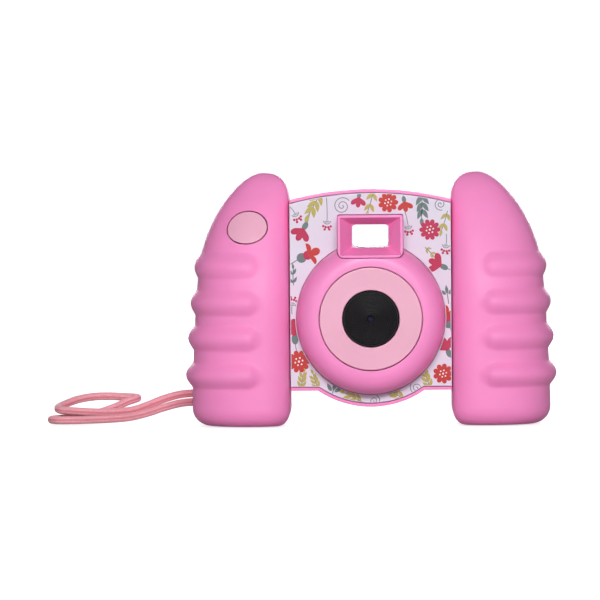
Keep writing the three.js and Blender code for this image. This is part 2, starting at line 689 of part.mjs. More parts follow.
function makeViewfinder() {
  const wide = [HOOD_WIDTH / 2 - HOOD_LIP, (HOOD_HIGH - HOOD_LOW) / 2 - HOOD_LIP];
  const narrow = [SIGHT_WIDTH / 2, SIGHT_HEIGHT / 2];
  const centreHigh = (HOOD_LOW + HOOD_HIGH) / 2;
  const funnelRing = ([halfWidth, halfHeight], y, z) => [[-1, -1], [1, -1], [1, 1], [-1, 1]]
    .map(([u, v]) => new THREE.Vector3(u * halfWidth, y, z + v * halfHeight));
  const funnel = loft([
    funnelRing(wide, HOOD_FRONT - 0.01, centreHigh),
    funnelRing(narrow, FUNNEL_FLOOR, SIGHT_Z),
  ]);
  let hood = hoodPrism(0, [HOOD_FRONT, PLATE_FLOOR - GAP]);
  hood = hood.subtract(funnel).subtract(tubeInner([FUNNEL_FLOOR - 1, FAR]));
  add('viewfinder_hood', hood, 'pink');

  const frontWindow = [PLATE_FLOOR, PLATE_FLOOR + WINDOW_THICKNESS];
  const rearWindow = [BODY_BACK - 0.4 - WINDOW_THICKNESS, BODY_BACK - 0.4];
  add('viewfinder_front_window', tubeOuter(0, frontWindow), 'clear');
  const tubeRange = [frontWindow[1] + GAP, rearWindow[0] - GAP];
  add('viewfinder_tube', tubeOuter(0, tubeRange).subtract(tubeInner([-FAR, FAR])), 'black');
  add('viewfinder_rear_window', tubeOuter(0, rearWindow), 'clear');

  const cupFoot = slab(roundedRectangle(0, SIGHT_Z, 24.5, 18, 4), [BODY_BACK + GAP, BODY_BACK + 2]);
  const cupWall = slab(roundedRectangle(0, SIGHT_Z, 21.5, 15.4, 3.6), [BODY_BACK + 1.5, EYECUP_BACK]);
  const cupMouth = slab(roundedRectangle(0, SIGHT_Z, 17.4, 11.6, 2.6), [BODY_BACK + 4, FAR]);
  add('eyecup', cupFoot.add(cupWall).subtract(cupMouth).subtract(tubeInner([-FAR, FAR])), 'rubber');
}

function makeRearCasing() {
  const wallInside = BODY_BACK - BODY_WALL;
  let casing = bodyLoft([
    [CROWN_Y + GAP / 2, 0, 0], [BODY_BACK - 2, 0, 0], [BODY_BACK - 0.6, 0.6, 0.3], [BODY_BACK, 2, 1.2],
  ]);
  casing = casing.subtract(bodySlab(BODY_WALL, BODY_WALL, [0, wallInside]));
  casing = casing.subtract(tubeOuter(GAP, [0, FAR]));
  const screenHole = roundedRectangle(SCREEN_X, SCREEN_Z, SCREEN_WIDTH, SCREEN_HEIGHT, 1.5);
  casing = casing.subtract(slab(screenHole, [0, FAR]));
  const flapHole = roundedRectangle(PORT_X, PORT_Z, FLAP_WIDTH + 2 * GAP, FLAP_HEIGHT + 2 * GAP, 1);
  casing = casing.subtract(slab(flapHole, [0, FAR]));
  for (const [, x, z, radius] of KEYS) {
    casing = casing.subtract(drum(radius + GAP, [0, FAR], x, z, 16));
  }
  for (const [x, z] of CASE_SCREWS) {
    casing = casing.subtract(drum(SCREW_BORE, [0, FAR], x, z, 12));
  }
  for (let row = -2; row <= 2; row += 1) {
    const z = SIGHT_Z + row * SPEAKER_SLOT_PITCH;
    const half = SPEAKER_SLOT_HALF - Math.abs(row) * SPEAKER_SLOT_LOSS;
    const rise = SPEAKER_SLOT_HEIGHT / 2;
    casing = casing.subtract(box([SPEAKER_X - half, SPEAKER_X + half], [0, FAR], [z - rise, z + rise]));
  }
  add('rear_casing', casing, 'pink');
  CASE_SCREWS.forEach(([x, z], index) => {
    add(`case_screw_${index + 1}`, screw(x, BODY_BACK - 0.4, z, LONG_SCREW_LENGTH), 'steel');
  });
}

function makeScreen() {
  const [width, height] = [SCREEN_WIDTH - 2 * GAP, SCREEN_HEIGHT - 2 * GAP];
  const window = roundedRectangle(SCREEN_X, SCREEN_Z, width, height, 1.2);
  add('lcd_window', slab(window, [BODY_BACK - 1.6, BODY_BACK - 0.2]), 'clear');
  const panel = roundedRectangle(SCREEN_X, SCREEN_Z, 44, 34, 0.8);
  add('lcd_panel', slab(panel, [BODY_BACK - 5.2, BODY_BACK - BODY_WALL - GAP]), 'black');
  const frame = roundedRectangle(SCREEN_X, SCREEN_Z, 47, 37, 4);
  const outer = slab(frame, [BODY_BACK + GAP, BODY_BACK + 1.6], 4);
  const opening = roundedRectangle(SCREEN_X, SCREEN_Z, SCREEN_WIDTH - 1.4, SCREEN_HEIGHT - 1.4, 2);
  add('screen_bezel', outer.subtract(slab(opening, [0, FAR])), 'palePink');
}

function makeKeys() {
  const inside = BODY_BACK - BODY_WALL - GAP;
  for (const [name, x, z, radius] of KEYS) {
    const top = BODY_BACK + KEY_PROUD;
    const flange = radius + KEY_FLANGE;
    const profile = [
      [0, inside - 1.1], [flange, inside - 1.1], [flange, inside], [radius, inside],
      [radius, top - 0.5], [radius - 0.6, top], [radius * 0.5, top - 0.25], [0, top - 0.35],
    ];
    add(name, turned(profile, x, z, 16), 'palePink');
  }
  const membraneBack = inside - 2;
  const strip = roundedRectangle(0, KEY_ROW_Z, 56, 8, 2);
  const arm = roundedRectangle(25, 36, 7, 34, 2);
  const sheet = [membraneBack - 1, membraneBack];
  add('keypad_membrane', slab(strip, sheet).add(slab(arm, sheet)), 'rubber');
}

function makeInsides() {
  add('main_board', slab(roundedRectangle(0, 42, 58, 50, 2), [5.4, 7]), 'board');
  const speakerProfile = [
    [0, 12.2], [5, 12.2], [5, 13.6], [7.3, 13.6], [7.3, 16.4], [6.3, 16.4], [4, 15.2], [0, 15.8],
  ];
  add('speaker', turned(speakerProfile, SPEAKER_X, SIGHT_Z, 20), 'black');
  add('io_board', slab(roundedRectangle(PORT_X, PORT_Z, 14, 20, 1), [-1.2, 0]), 'board');
  const usbZ = PORT_Z + 4.6;
  const usbShell = box([PORT_X - 3.9, PORT_X + 3.9], [0.3, 16.6], [usbZ - 2, usbZ + 2]);
  const usbMouth = box([PORT_X - 3.4, PORT_X + 3.4], [8, FAR], [usbZ - 1.5, usbZ + 1.5]);
  add('usb_socket', usbShell.subtract(usbMouth), 'steel');
  const cardZ = PORT_Z - 3.6;
  const cardShell = box([PORT_X - 6.2, PORT_X + 6.2], [0.3, 15.4], [cardZ - 1.2, cardZ + 1.2]);
  const cardMouth = box([PORT_X - 5.7, PORT_X + 5.7], [1.6, FAR], [cardZ - 0.8, cardZ + 0.8]);
  add('card_socket', cardShell.subtract(cardMouth), 'steel');
  const card = box([PORT_X - 5.4, PORT_X + 5.4], [1.9, 16.6], [cardZ - 0.45, cardZ + 0.45]);
  add('memory_card', card, 'black');
  const flap = slab(
    roundedRectangle(PORT_X, PORT_Z, FLAP_WIDTH, FLAP_HEIGHT, 0.8),
    [BODY_BACK - FLAP_THICKNESS, BODY_BACK + 0.1],
  );
  const nail = box([PORT_X - 3, PORT_X + 3], [BODY_BACK, BODY_BACK + 0.7], [PORT_Z + 5.6, PORT_Z + 6.6]);
  add('port_flap', flap.add(nail), 'rubber');
}

// ---------------------------------------------------------------- wrist strap

// The thin loop, from the ferrule through the lug's eye and back.
const TETHER_ROUTE = [
  [-60.9, 34.0, 10.9], [-59.0, 33.5, 11.2], [-57.7, 31.7, 12.0], [-58.1, 29.4, 13.0], [-59.8, 27.3, 13.8],
  [-62.0, 25.7, 13.9], [-63.6, 25.0, 12.6], [-64.0, 25.0, 10.6], [-64.0, 25.0, 8.4], [-63.6, 25.0, 6.4],
  [-62.0, 25.7, 5.1], [-59.8, 27.3, 5.2], [-58.1, 29.4, 6.0], [-57.7, 31.7, 7.0], [-59.0, 33.5, 7.8],
  [-60.9, 34.0, 8.1],
];

// The thick loop, out of the ferrule, down to the table, folded on itself, and back.
const CORD_ROUTE = [
  [-70.1, 33.6, 7.7], [-77.0, 32.4, 7.3], [-84.0, 30.2, 5.7], [-91.0, 27.0, 3.6], [-98.0, 23.2, 2.2],
  [-106.0, 19.0, 1.75], [-114.0, 15.4, 1.7], [-120.5, 13.6, 1.7], [-126.0, 14.2, 1.7], [-129.0, 18.0, 1.7],
  [-128.0, 22.8, 1.7], [-123.6, 25.6, 1.8], [-117.5, 26.8, 2.4], [-110.5, 27.8, 3.9], [-104.0, 29.0, 6.0],
  [-98.8, 30.6, 8.2], [-95.4, 33.8, 9.2], [-95.9, 38.4, 9.4], [-100.6, 41.4, 9.5], [-107.0, 42.0, 9.8],
  [-113.5, 40.4, 9.7], [-119.6, 36.8, 8.8], [-124.4, 32.0, 7.2], [-126.9, 26.4, 6.0], [-125.4, 21.4, 5.4],
  [-120.6, 18.9, 5.1], [-114.0, 19.4, 4.6], [-107.0, 22.2, 4.2], [-101.0, 25.4, 4.3], [-96.0, 28.2, 4.9],
  [-90.5, 31.0, 6.7], [-84.0, 33.2, 9.1], [-77.0, 34.2, 10.8], [-70.1, 34.4, 11.2],
];

function makeStrap() {
  const { x, y, z, halfDepth, halfHeight } = FERRULE;
  const stations = [[x[0], 0.82], [x[0] + 1, 1], [x[1] - 3, 1], [x[1], 0.6]];
  const rings = stations.map(([along, share]) => {
    const ring = [];
    for (let i = 0; i < 16; i += 1) {
      const angle = (i * Math.PI * 2) / 16;
      const dy = halfDepth * share * Math.sign(Math.cos(angle)) * Math.abs(Math.cos(angle)) ** 0.7;
      const dz = halfHeight * share * Math.sign(Math.sin(angle)) * Math.abs(Math.sin(angle)) ** 0.7;
      ring.push(new THREE.Vector3(along, y + dy, z + dz));
    }
    return ring;
  });
  add('strap_ferrule', loft(rings), 'rubber');
  add('strap_tether', cord(TETHER_ROUTE, TETHER_DIAMETER, 8, 28), 'cord');
  add('strap_cord', cord(CORD_ROUTE, CORD_DIAMETER, 8, 64), 'cord');
}

// ---------------------------------------------------------------- everything

makeFrontCasing();
makeRearCasing();
makeFaceplate();
makeLens();
makeViewfinder();
makeScreen();
makeKeys();
makeInsides();
makeGrip('right', -1);
makeGrip('left', 1);
makeShutter();
makeStrap();

export default camera;
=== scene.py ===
import math

import bmesh
import bpy
import numpy as np
from mathutils import Matrix, Vector


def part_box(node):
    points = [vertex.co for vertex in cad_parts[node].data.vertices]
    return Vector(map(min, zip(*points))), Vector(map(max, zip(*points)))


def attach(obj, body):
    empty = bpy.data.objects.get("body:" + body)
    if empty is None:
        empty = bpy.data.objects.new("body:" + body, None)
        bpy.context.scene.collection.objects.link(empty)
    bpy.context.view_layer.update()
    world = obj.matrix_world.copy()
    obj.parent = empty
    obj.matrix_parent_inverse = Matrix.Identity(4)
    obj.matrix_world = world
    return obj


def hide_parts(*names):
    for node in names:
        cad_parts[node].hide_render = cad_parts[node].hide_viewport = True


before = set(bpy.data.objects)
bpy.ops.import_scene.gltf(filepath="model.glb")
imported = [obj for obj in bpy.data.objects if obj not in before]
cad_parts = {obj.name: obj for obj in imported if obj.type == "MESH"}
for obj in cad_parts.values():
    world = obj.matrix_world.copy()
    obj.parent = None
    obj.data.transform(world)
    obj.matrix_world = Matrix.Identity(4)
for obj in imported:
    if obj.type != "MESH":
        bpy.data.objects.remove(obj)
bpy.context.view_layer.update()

MM = 0.001               # shapes below are worked out in millimetres
GAP = 0.3                # between pieces that touch
FAR = 200.0              # reaches past everything
COLLECTION = bpy.context.scene.collection


def box(node):
    """A CAD node's low and high corners, in millimetres."""
    low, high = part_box(node)
    return [v / MM for v in low], [v / MM for v in high]


def centre(node):
    """The x and z of a CAD node's middle."""
    low, high = box(node)
    return (low[0] + high[0]) / 2, (low[2] + high[2]) / 2


def extent(node):
    """A CAD node's width and height."""
    low, high = box(node)
    return high[0] - low[0], high[2] - low[2]


def half_width(node):
    return extent(node)[0] / 2


# ------------------------------------------------------------------ camera

VIEW_DISTANCE = 1.8
VIEW_ELEVATION = math.radians(1.7)
VIEW_ROLL = math.radians(0.45)
VIEW_WIDTH = 0.2393      # how much of the object's plane the square picture takes in
VIEW_CENTRE = Vector((-0.0282, 0.0, 0.0495))
SENSOR = 36.0


def make_camera():
    data = bpy.data.cameras.new("camera")
    data.sensor_width = SENSOR
    data.lens = SENSOR * VIEW_DISTANCE / VIEW_WIDTH
    camera = bpy.data.objects.new("camera", data)
    toward = Vector((0, -math.cos(VIEW_ELEVATION), math.sin(VIEW_ELEVATION)))
    camera.location = Vector((0, 0, VIEW_CENTRE.z)) + toward * VIEW_DISTANCE
    aim = (-toward).to_track_quat("-Z", "Y")
    roll = Matrix.Rotation(-VIEW_ROLL, 4, "Z")
    camera.matrix_world = Matrix.Translation(camera.location) @ aim.to_matrix().to_4x4() @ roll
    data.shift_x = VIEW_CENTRE.x / VIEW_WIDTH
    COLLECTION.objects.link(camera)
    bpy.context.scene.camera = camera


make_camera()


# ------------------------------------------------------------------ materials

def feed(tree, node, **values):
    """Sets a node's sockets by name. An output of another node is linked, and any other value is set."""
    for key, value in values.items():
        socket = node.inputs[key.replace("_", " ")]
        if isinstance(value, bpy.types.NodeSocket):
            tree.links.new(value, socket)
        else:
            socket.default_value = value
    return node


def add(tree, kind, **values):
    return feed(tree, tree.nodes.new(f"ShaderNode{kind}"), **values)


def new_material(name, roughness=0.5, **values):
    """A material with its shader's own values set, and its node tree."""
    material = bpy.data.materials.new(name)
    material.use_nodes = True
    tree = material.node_tree
    return material, tree, feed(tree, tree.nodes["Principled BSDF"], Roughness=roughness, **values)


def noise(tree, scale, detail=3.0, stretch=(1, 1, 1)):
    """Noise in object space. Scale is in features per metre."""
    place = add(tree, "TexCoord")
    mapping = add(tree, "Mapping", Vector=place.outputs["Object"], Scale=stretch)
    texture = add(tree, "TexNoise", Vector=mapping.outputs["Vector"], Scale=scale, Detail=detail)
    return texture.outputs["Fac"]


def ramp(tree, source, stops):
    """A colour ramp with (position, colour) stops."""
    node = tree.nodes.new("ShaderNodeValToRGB")
    elements = node.color_ramp.elements
    while len(elements) < len(stops):
        elements.new(0.5)
    for element, (position, colour) in zip(elements, stops):
        element.position = position
        element.color = (*colour, 1)
    tree.links.new(source, node.inputs["Fac"])
    return node.outputs["Color"]


def grey(value):
    return (value, value, value)


def shade(colour, factor):
    return tuple(min(1.0, c * factor) for c in colour)


def bump(tree, shader, height, strength, distance):
    """Bumps the surface. Distance is in metres."""
    node = add(tree, "Bump", Strength=strength, Distance=distance, Height=height)
    feed(tree, shader, Normal=node.outputs["Normal"])


def moulded(name, colour, roughness, grain=9000.0, depth=0.00001, mottle=0.035, **values):
    """Moulded plastic: a faintly uneven colour, a fine spark-eroded grain, and uneven gloss."""
    material, tree, shader = new_material(name, roughness, **values)
    tint = [(0.3, shade(colour, 1 - mottle)), (0.7, shade(colour, 1 + mottle))]
    gloss = [(0.35, grey(roughness - 0.04)), (0.65, grey(roughness + 0.05))]
    feed(tree, shader, Base_Color=ramp(tree, noise(tree, 45.0, 4.0), tint))
    feed(tree, shader, Roughness=ramp(tree, noise(tree, 160.0, 5.0), gloss))
    bump(tree, shader, noise(tree, grain, 2.0), 0.35, depth)
    return material


def linear(*levels):
    """An sRGB colour, 0 to 255, as linear light."""
    return tuple(((v / 255 + 0.055) / 1.055) ** 2.4 if v > 10 else v / 255 / 12.92 for v in levels)


PINK = linear(250, 143, 203)
PALE_PINK = linear(236, 172, 197)
LAVENDER_WHITE = linear(226, 218, 233)
BLACK = linear(20, 17, 21)
CRIMSON = linear(186, 26, 78)
ORANGE_RED = linear(192, 42, 36)
OLIVE = linear(182, 168, 84)
GREY_GREEN = linear(102, 120, 120)
STEM = linear(118, 128, 130)
WHITE = linear(240, 236, 238)
CORD_PINK = linear(255, 166, 177)

pink_soft = moulded(
    "pink_soft_touch", PINK, 0.5, Specular_IOR_Level=0.42, Subsurface_Weight=0.06, Subsurface_Scale=0.002,
)
pink_case = moulded("pink_casing", PINK, 0.42, Specular_IOR_Level=0.45)
pale_pink = moulded("pale_pink", PALE_PINK, 0.38, grain=7000.0, depth=0.000006)
plate_white = moulded(
    "plate_gloss", LAVENDER_WHITE, 0.2, grain=900.0, depth=0.000003, mottle=0.015,
    Coat_Weight=0.25, Coat_Roughness=0.05, Specular_IOR_Level=0.4,
)
black_satin = moulded("black_satin", BLACK, 0.5, mottle=0.15, Specular_IOR_Level=0.25)
pale_rubber = moulded("pale_rubber", linear(228, 222, 230), 0.62, grain=5000.0, depth=0.00002)
flap_rubber = moulded("flap_rubber", linear(240, 176, 204), 0.6, grain=5000.0, depth=0.00002)


def make_steel():
    material, tree, shader = new_material("zinc_steel", 0.32, Metallic=1.0)
    streaks = noise(tree, 1800.0, 3.0, stretch=(1, 12, 1))
    feed(tree, shader, Base_Color=ramp(tree, streaks, [(0.3, grey(0.42)), (0.7, grey(0.62))]))
    bump(tree, shader, streaks, 0.25, 0.00001)
    return material


def make_clear():
    """Clear plastic, with faint smears on it."""
    material, tree, shader = new_material(
        "clear_window", 0.03, Base_Color=(0.97, 0.98, 1.0, 1), Transmission_Weight=1.0, IOR=1.1,
    )
    haze = [(0.4, grey(0.02)), (0.7, grey(0.06))]
    feed(tree, shader, Roughness=ramp(tree, noise(tree, 300.0, 5.0), haze))
    return material


def dark_glass(name, roughness, scale, darker, lighter, **values):
    """Glass with darkness behind it, which is faintly uneven."""
    material, tree, shader = new_material(name, roughness, **values)
    feed(tree, shader, Base_Color=ramp(tree, noise(tree, scale, 2.0), [(0.35, darker), (0.65, lighter)]))
    return material


def make_ink(name, colour):
    """Printed ink: slightly uneven cover, a little less glossy than the plate."""
    material, tree, shader = new_material(name, 0.3, Coat_Weight=0.4, Coat_Roughness=0.1)
    cover = noise(tree, 2600.0, 4.0)
    feed(tree, shader, Base_Color=ramp(tree, cover, [(0.3, shade(colour, 0.9)), (0.62, shade(colour, 1.08))]))
    bump(tree, shader, cover, 0.15, 0.00001)
    return material


def make_cord_fabric(name, colour):
    """Braided polyester: fine fibres, full colour on the raised strands, and painted shade between them and in
    the cord's side creases.
    """
    material, tree, shader = new_material(name, 0.78, Sheen_Weight=0.35, Sheen_Roughness=0.4)
    fibres = noise(tree, 5200.0, 4.0, stretch=(0.35, 1, 1))
    tints = [(0.25, shade(colour, 0.85)), (0.55, shade(colour, 1.2)), (0.8, shade(colour, 1.5))]
    height = add(tree, "Attribute")
    height.attribute_name = "braid"
    # painted shade: the braid attribute darkens the colour between the strands and in the side creases
    depth = ramp(tree, height.outputs["Fac"], [(0.1, (0.66, 0.42, 0.46)), (0.5, grey(1.0))])
    mix = add(tree, "Mix")
    mix.data_type = "RGBA"
    mix.blend_type = "MULTIPLY"
    feed(tree, mix, Factor=1.0, A=ramp(tree, fibres, tints), B=depth)
    feed(tree, shader, Base_Color=mix.outputs["Result"])
    bump(tree, shader, fibres, 0.5, 0.00008)
    return material


steel = make_steel()
clear_window = make_clear()
lens_glass = dark_glass(
    "lens_glass", 0.08, 200.0, (0.006, 0.005, 0.012), (0.014, 0.009, 0.030), Specular_IOR_Level=0.3,
)
screen_dark = dark_glass(
    "screen_dark", 0.12, 60.0, (0.010, 0.012, 0.017), (0.016, 0.019, 0.026),
    Coat_Weight=1.0, Coat_Roughness=0.03,
)
cord_fabric = make_cord_fabric("cord_fabric", CORD_PINK)


# ------------------------------------------------------------------ meshes

def mesh_piece(name, points, faces, material, sharp=35.0):
    """A piece from points in millimetres."""
    mesh = bpy.data.meshes.new(name)
    mesh.from_pydata((np.asarray(points, dtype=float) * MM).tolist(), [], faces)
    mesh.materials.append(material)
    piece = bpy.data.objects.new(name, mesh)
    COLLECTION.objects.link(piece)
    tidy(piece, sharp)
    return piece


def tidy(piece, sharp=35.0):
    """Welds, turns the faces outward and shades smooth but for sharp edges."""
    shape = bmesh.new()
    shape.from_mesh(piece.data)
    bmesh.ops.remove_doubles(shape, verts=shape.verts, dist=2e-7)
    bmesh.ops.recalc_face_normals(shape, faces=shape.faces)
    shape.to_mesh(piece.data)
    shape.free()
    piece.data.shade_smooth()
    piece.data.set_sharp_from_angle(angle=math.radians(sharp))


def apply_modifiers(piece):
    graph = bpy.context.evaluated_depsgraph_get()
    graph.update()
    mesh = bpy.data.meshes.new_from_object(piece.evaluated_get(graph))
    old = piece.data
    piece.modifiers.clear()
    piece.data = mesh
    mesh.name = piece.name
    bpy.data.meshes.remove(old)


def combine(piece, tool, operation):
    """Cuts piece by tool, joins them or keeps what they share. The tool is used up."""
    modifier = piece.modifiers.new("combine", "BOOLEAN")
    modifier.operation = operation
    modifier.solver = "MANIFOLD"
    modifier.object = tool
    apply_modifiers(piece)
    bpy.data.objects.remove(tool)
    return piece


def cut(piece, *tools):
    for tool in tools:
        combine(piece, tool, "DIFFERENCE")
    return piece


def join(piece, *tools):
    for tool in tools:
        combine(piece, tool, "UNION")
    return piece


def keep(piece, tool):
    return combine(piece, tool, "INTERSECT")


def soften(piece, width, segments=3, angle=35.0, sharp=60.0):
    """Rounds the piece's sharp edges. Width is in millimetres."""
    modifier = piece.modifiers.new("soften", "BEVEL")
    modifier.width = width * MM
    modifier.segments = segments
    modifier.limit_method = "ANGLE"
    modifier.angle_limit = math.radians(angle)
    modifier.harden_normals = False
    apply_modifiers(piece)
    piece.data.shade_smooth()
    piece.data.set_sharp_from_angle(angle=math.radians(sharp))
    return piece


def twin(piece, name):
    """A copy of a piece, with a mesh of its own."""
    other = piece.copy()
    other.data = piece.data.copy()
    other.name = name
    COLLECTION.objects.link(other)
    return other


def loft_faces(rings, count, apex=False):
    """The faces of rings of count points, closed flat or, at the last ring, at one more point."""
    faces = []
    for ring in range(rings - 1):
        low = ring * count
        high = low + count
        for i in range(count):
            j = (i + 1) % count
            faces.append((low + i, low + j, high + j, high + i))
    faces.append(tuple(reversed(range(count))))
    last = (rings - 1) * count
    if apex:
        faces += [(last + i, last + (i + 1) % count, last + count) for i in range(count)]
    else:
        faces.append(tuple(last + i for i in range(count)))
    return faces


def loft(name, rings, material, apex=None, sharp=35.0):
    """Rings of points joined in order, closed flat at each end or at an apex."""
    points = np.concatenate([np.asarray(ring, dtype=float) for ring in rings])
    if apex is not None:
        points = np.vstack([points, [apex]])
    faces = loft_faces(len(rings), len(rings[0]), apex is not None)
    return mesh_piece(name, points, faces, material, sharp)


def block(low, high):
    """A plain cutting block."""
    corners = [(x, y, z) for y in (low[1], high[1]) for x, z in (
        (low[0], low[2]), (high[0], low[2]), (high[0], high[2]), (low[0], high[2]))]
    return loft("tool", [corners[:4], corners[4:]], pink_case)


def turned(name, profile, x, z, material, segments=96, sharp=35.0):
    """A profile of (radius, y) turned about a line along Y at x, z. It starts and ends on the axis, or
    closes on itself."""
    closed = profile[0][0] > 0
    angles = np.arange(segments) * 2 * math.pi / segments
    points = []
    faces = []
    rings = []
    for radius, y in profile:
        if radius == 0:
            rings.append([len(points)] * segments)
            points.append((x, y, z))
        else:
            rings.append(list(range(len(points), len(points) + segments)))
            points += [(x + radius * math.cos(a), y, z + radius * math.sin(a)) for a in angles]
    if closed:
        rings.append(rings[0])
    for low, high in zip(rings, rings[1:]):
        for i in range(segments):
            j = (i + 1) % segments
            corners = [low[i], low[j], high[j], high[i]]
            faces.append(tuple(dict.fromkeys(corners)))
    return mesh_piece(name, points, faces, material, sharp)


def drum(radius, y0, y1, x, z, segments=64):
    """A cutting cylinder along Y."""
    return turned("tool", [(0, y0), (radius, y0), (radius, y1), (0, y1)], x, z, pink_case, segments)


# Outlines are functions of an inset, giving the same number of (x, z) points each time.

def rounded_rectangle(x, z, width, height, low_radius, high_radius=None, steps=8):
    high_radius = low_radius if high_radius is None else high_radius

    def outline(inset=0.0):
        points = []
        corners = [
            (1, -1, low_radius, -90), (1, 1, high_radius, 0),
            (-1, 1, high_radius, 90), (-1, -1, low_radius, 180),
        ]
        for across, up, radius, start in corners:
            small = max(radius - inset, 0.02)
            cx = x + across * (width / 2 - inset - small)
            cz = z + up * (height / 2 - inset - small)
            for i in range(steps + 1):
                angle = math.radians(start + 90 * i / steps)
                points.append((cx + small * math.cos(angle), cz + small * math.sin(angle)))
        return np.array(points)
    return outline


def oval(x, z, half_width, half_height, steps=96):
    def outline(inset=0.0):
        angles = np.arange(steps) * 2 * math.pi / steps
        return np.column_stack([
            x + (half_width - inset) * np.cos(angles),
            z + (half_height - inset) * np.sin(angles),
        ])
    return outline


def slab(name, outline, y0, y1, material, front=0.0, back=0.0, steps=4, sharp=35.0):
    """An outline extruded from y0 to y1, with its front and back edges rounded."""
    stations = []
    turn = [math.radians(90 * i / steps) for i in range(steps + 1)]
    if front:
        stations += [(y0 + front * (1 - math.sin(a)), front * (1 - math.cos(a))) for a in reversed(turn)]
    else:
        stations.append((y0, 0))
    if back:
        stations += [(y1 - back * (1 - math.sin(a)), back * (1 - math.cos(a))) for a in turn]
    else:
        stations.append((y1, 0))
    rings = []
    for y, inset in stations:
        flat = outline(inset)
        rings.append(np.column_stack([flat[:, 0], np.full(len(flat), y), flat[:, 1]]))
    return loft(name, rings, material, sharp=sharp)


def hole(outline, y0=-FAR, y1=FAR, material=pink_case, **edges):
    """A prism that cuts or joins, through everything unless it is told where to stop. Its material goes
    on the faces that it makes."""
    return slab("tool", outline, y0, y1, material, **edges)


def node_outline(node, radius, margin=0.0, high_radius=None):
    """The rounded rectangle round a CAD node, bigger by the margin on every side."""
    width, height = extent(node)
    return rounded_rectangle(*centre(node), width + 2 * margin, height + 2 * margin, radius, high_radius)


def prisms(name, outlines, y0, y1, material):
    """Prisms of outlines of (x, z) points, all in one piece."""
    points = []
    faces = []
    for outline in outlines:
        start, count = len(points), len(outline)
        for y in (y0, y1):
            points += [(x, y, z) for x, z in outline]
        faces.append(tuple(range(start, start + count)))
        faces.append(tuple(reversed(range(start + count, start + 2 * count))))
        for i in range(count):
            j = (i + 1) % count
            faces.append((start + j, start + i, start + count + i, start + count + j))
    return mesh_piece(name, points, faces, material, 30.0)


def arc(cx, cy, radius, start, end, steps):
    """Points of an arc, for turned profiles. Angles are in degrees."""
    angles = [math.radians(start + (end - start) * i / steps) for i in range(steps + 1)]
    return [(cx + radius * math.cos(a), cy + radius * math.sin(a)) for a in angles]


def settle_normals(piece):
    """Large flat faces set the normals, so that they shade flat up to their rounded edges."""
    modifier = piece.modifiers.new("normals", "WEIGHTED_NORMAL")
    modifier.mode = "FACE_AREA"
    modifier.keep_sharp = True
    apply_modifiers(piece)


def stands_for(piece, body, slot, *nodes):
    """Finishes a piece: which body it rides, and the CAD nodes it stands in for. The slot is not used."""
    if "braid" not in piece.data.attributes:
        settle_normals(piece)
    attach(piece, body)
    if nodes:
        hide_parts(*nodes)
    return piece


# ------------------------------------------------------------------ wrist strap

CORD_ROUTE = [
    (-0.0701, 0.0336, 0.0077), (-0.077, 0.0324, 0.0073), (-0.084, 0.0302, 0.0057), (-0.091, 0.027, 0.0036),
    (-0.098, 0.0232, 0.0022), (-0.106, 0.019, 0.00175), (-0.114, 0.0154, 0.0017), (-0.1205, 0.0136, 0.0017),
    (-0.126, 0.0142, 0.0017), (-0.129, 0.018, 0.0017), (-0.128, 0.0228, 0.0017), (-0.1236, 0.0256, 0.0018),
    (-0.1175, 0.0268, 0.0024), (-0.1105, 0.0278, 0.0039), (-0.104, 0.029, 0.006), (-0.0988, 0.0306, 0.0082),
    (-0.0954, 0.0338, 0.0092), (-0.0959, 0.0384, 0.0094), (-0.1006, 0.0414, 0.0095), (-0.107, 0.042, 0.0098),
    (-0.1135, 0.0404, 0.0097), (-0.1196, 0.0368, 0.0088), (-0.1244, 0.032, 0.0072), (-0.1269, 0.0264, 0.006),
    (-0.1254, 0.0214, 0.0054), (-0.1206, 0.0189, 0.0051), (-0.114, 0.0194, 0.0046), (-0.107, 0.0222, 0.0042),
    (-0.101, 0.0254, 0.0043), (-0.096, 0.0282, 0.0049), (-0.0905, 0.031, 0.0067), (-0.084, 0.0332, 0.0091),
    (-0.077, 0.0342, 0.0108), (-0.0701, 0.0344, 0.0112),
]
TETHER_ROUTE = [
    (-0.0609, 0.034, 0.0109), (-0.059, 0.0335, 0.0112), (-0.0577, 0.0317, 0.012), (-0.0581, 0.0294, 0.013),
    (-0.0598, 0.0273, 0.0138), (-0.062, 0.0257, 0.0139), (-0.0636, 0.025, 0.0126), (-0.064, 0.025, 0.0106),
    (-0.064, 0.025, 0.0084), (-0.0636, 0.025, 0.0064), (-0.062, 0.0257, 0.0051), (-0.0598, 0.0273, 0.0052),
    (-0.0581, 0.0294, 0.006), (-0.0577, 0.0317, 0.007), (-0.059, 0.0335, 0.0078), (-0.0609, 0.034, 0.0081),
]
CORD_DIAMETER = 0.0032
TETHER_DIAMETER = 0.0012


def smooth_path(route, spacing):
    """A centripetal Catmull-Rom curve through the route, at even spacing along it."""
    points = np.array(route)
    points = np.vstack([2 * points[0] - points[1], points, 2 * points[-1] - points[-2]])
    dense = []
    for a, b, c, d in zip(points, points[1:], points[2:], points[3:]):
        knots = np.cumsum([0] + [np.linalg.norm(q - p) ** 0.5 for p, q in ((a, b), (b, c), (c, d))])
        t0, t1, t2, t3 = knots
        for t in np.linspace(t1, t2, 40, endpoint=False):
            ab = a + (b - a) * (t - t0) / (t1 - t0)
            bc = b + (c - b) * (t - t1) / (t2 - t1)
            cd = c + (d - c) * (t - t2) / (t3 - t2)
            abc = ab + (bc - ab) * (t - t0) / (t2 - t0)
            bcd = bc + (cd - bc) * (t - t1) / (t3 - t1)
            dense.append(abc + (bcd - abc) * (t - t1) / (t2 - t1))
    dense.append(points[-2])
    dense = np.array(dense)
    along = np.concatenate([[0], np.cumsum(np.linalg.norm(np.diff(dense, axis=0), axis=1))])
    count = int(round(along[-1] / spacing)) + 1
    even = np.linspace(0, along[-1], count)
    return np.column_stack([np.interp(even, along, dense[:, k]) for k in range(3)]), along[-1]


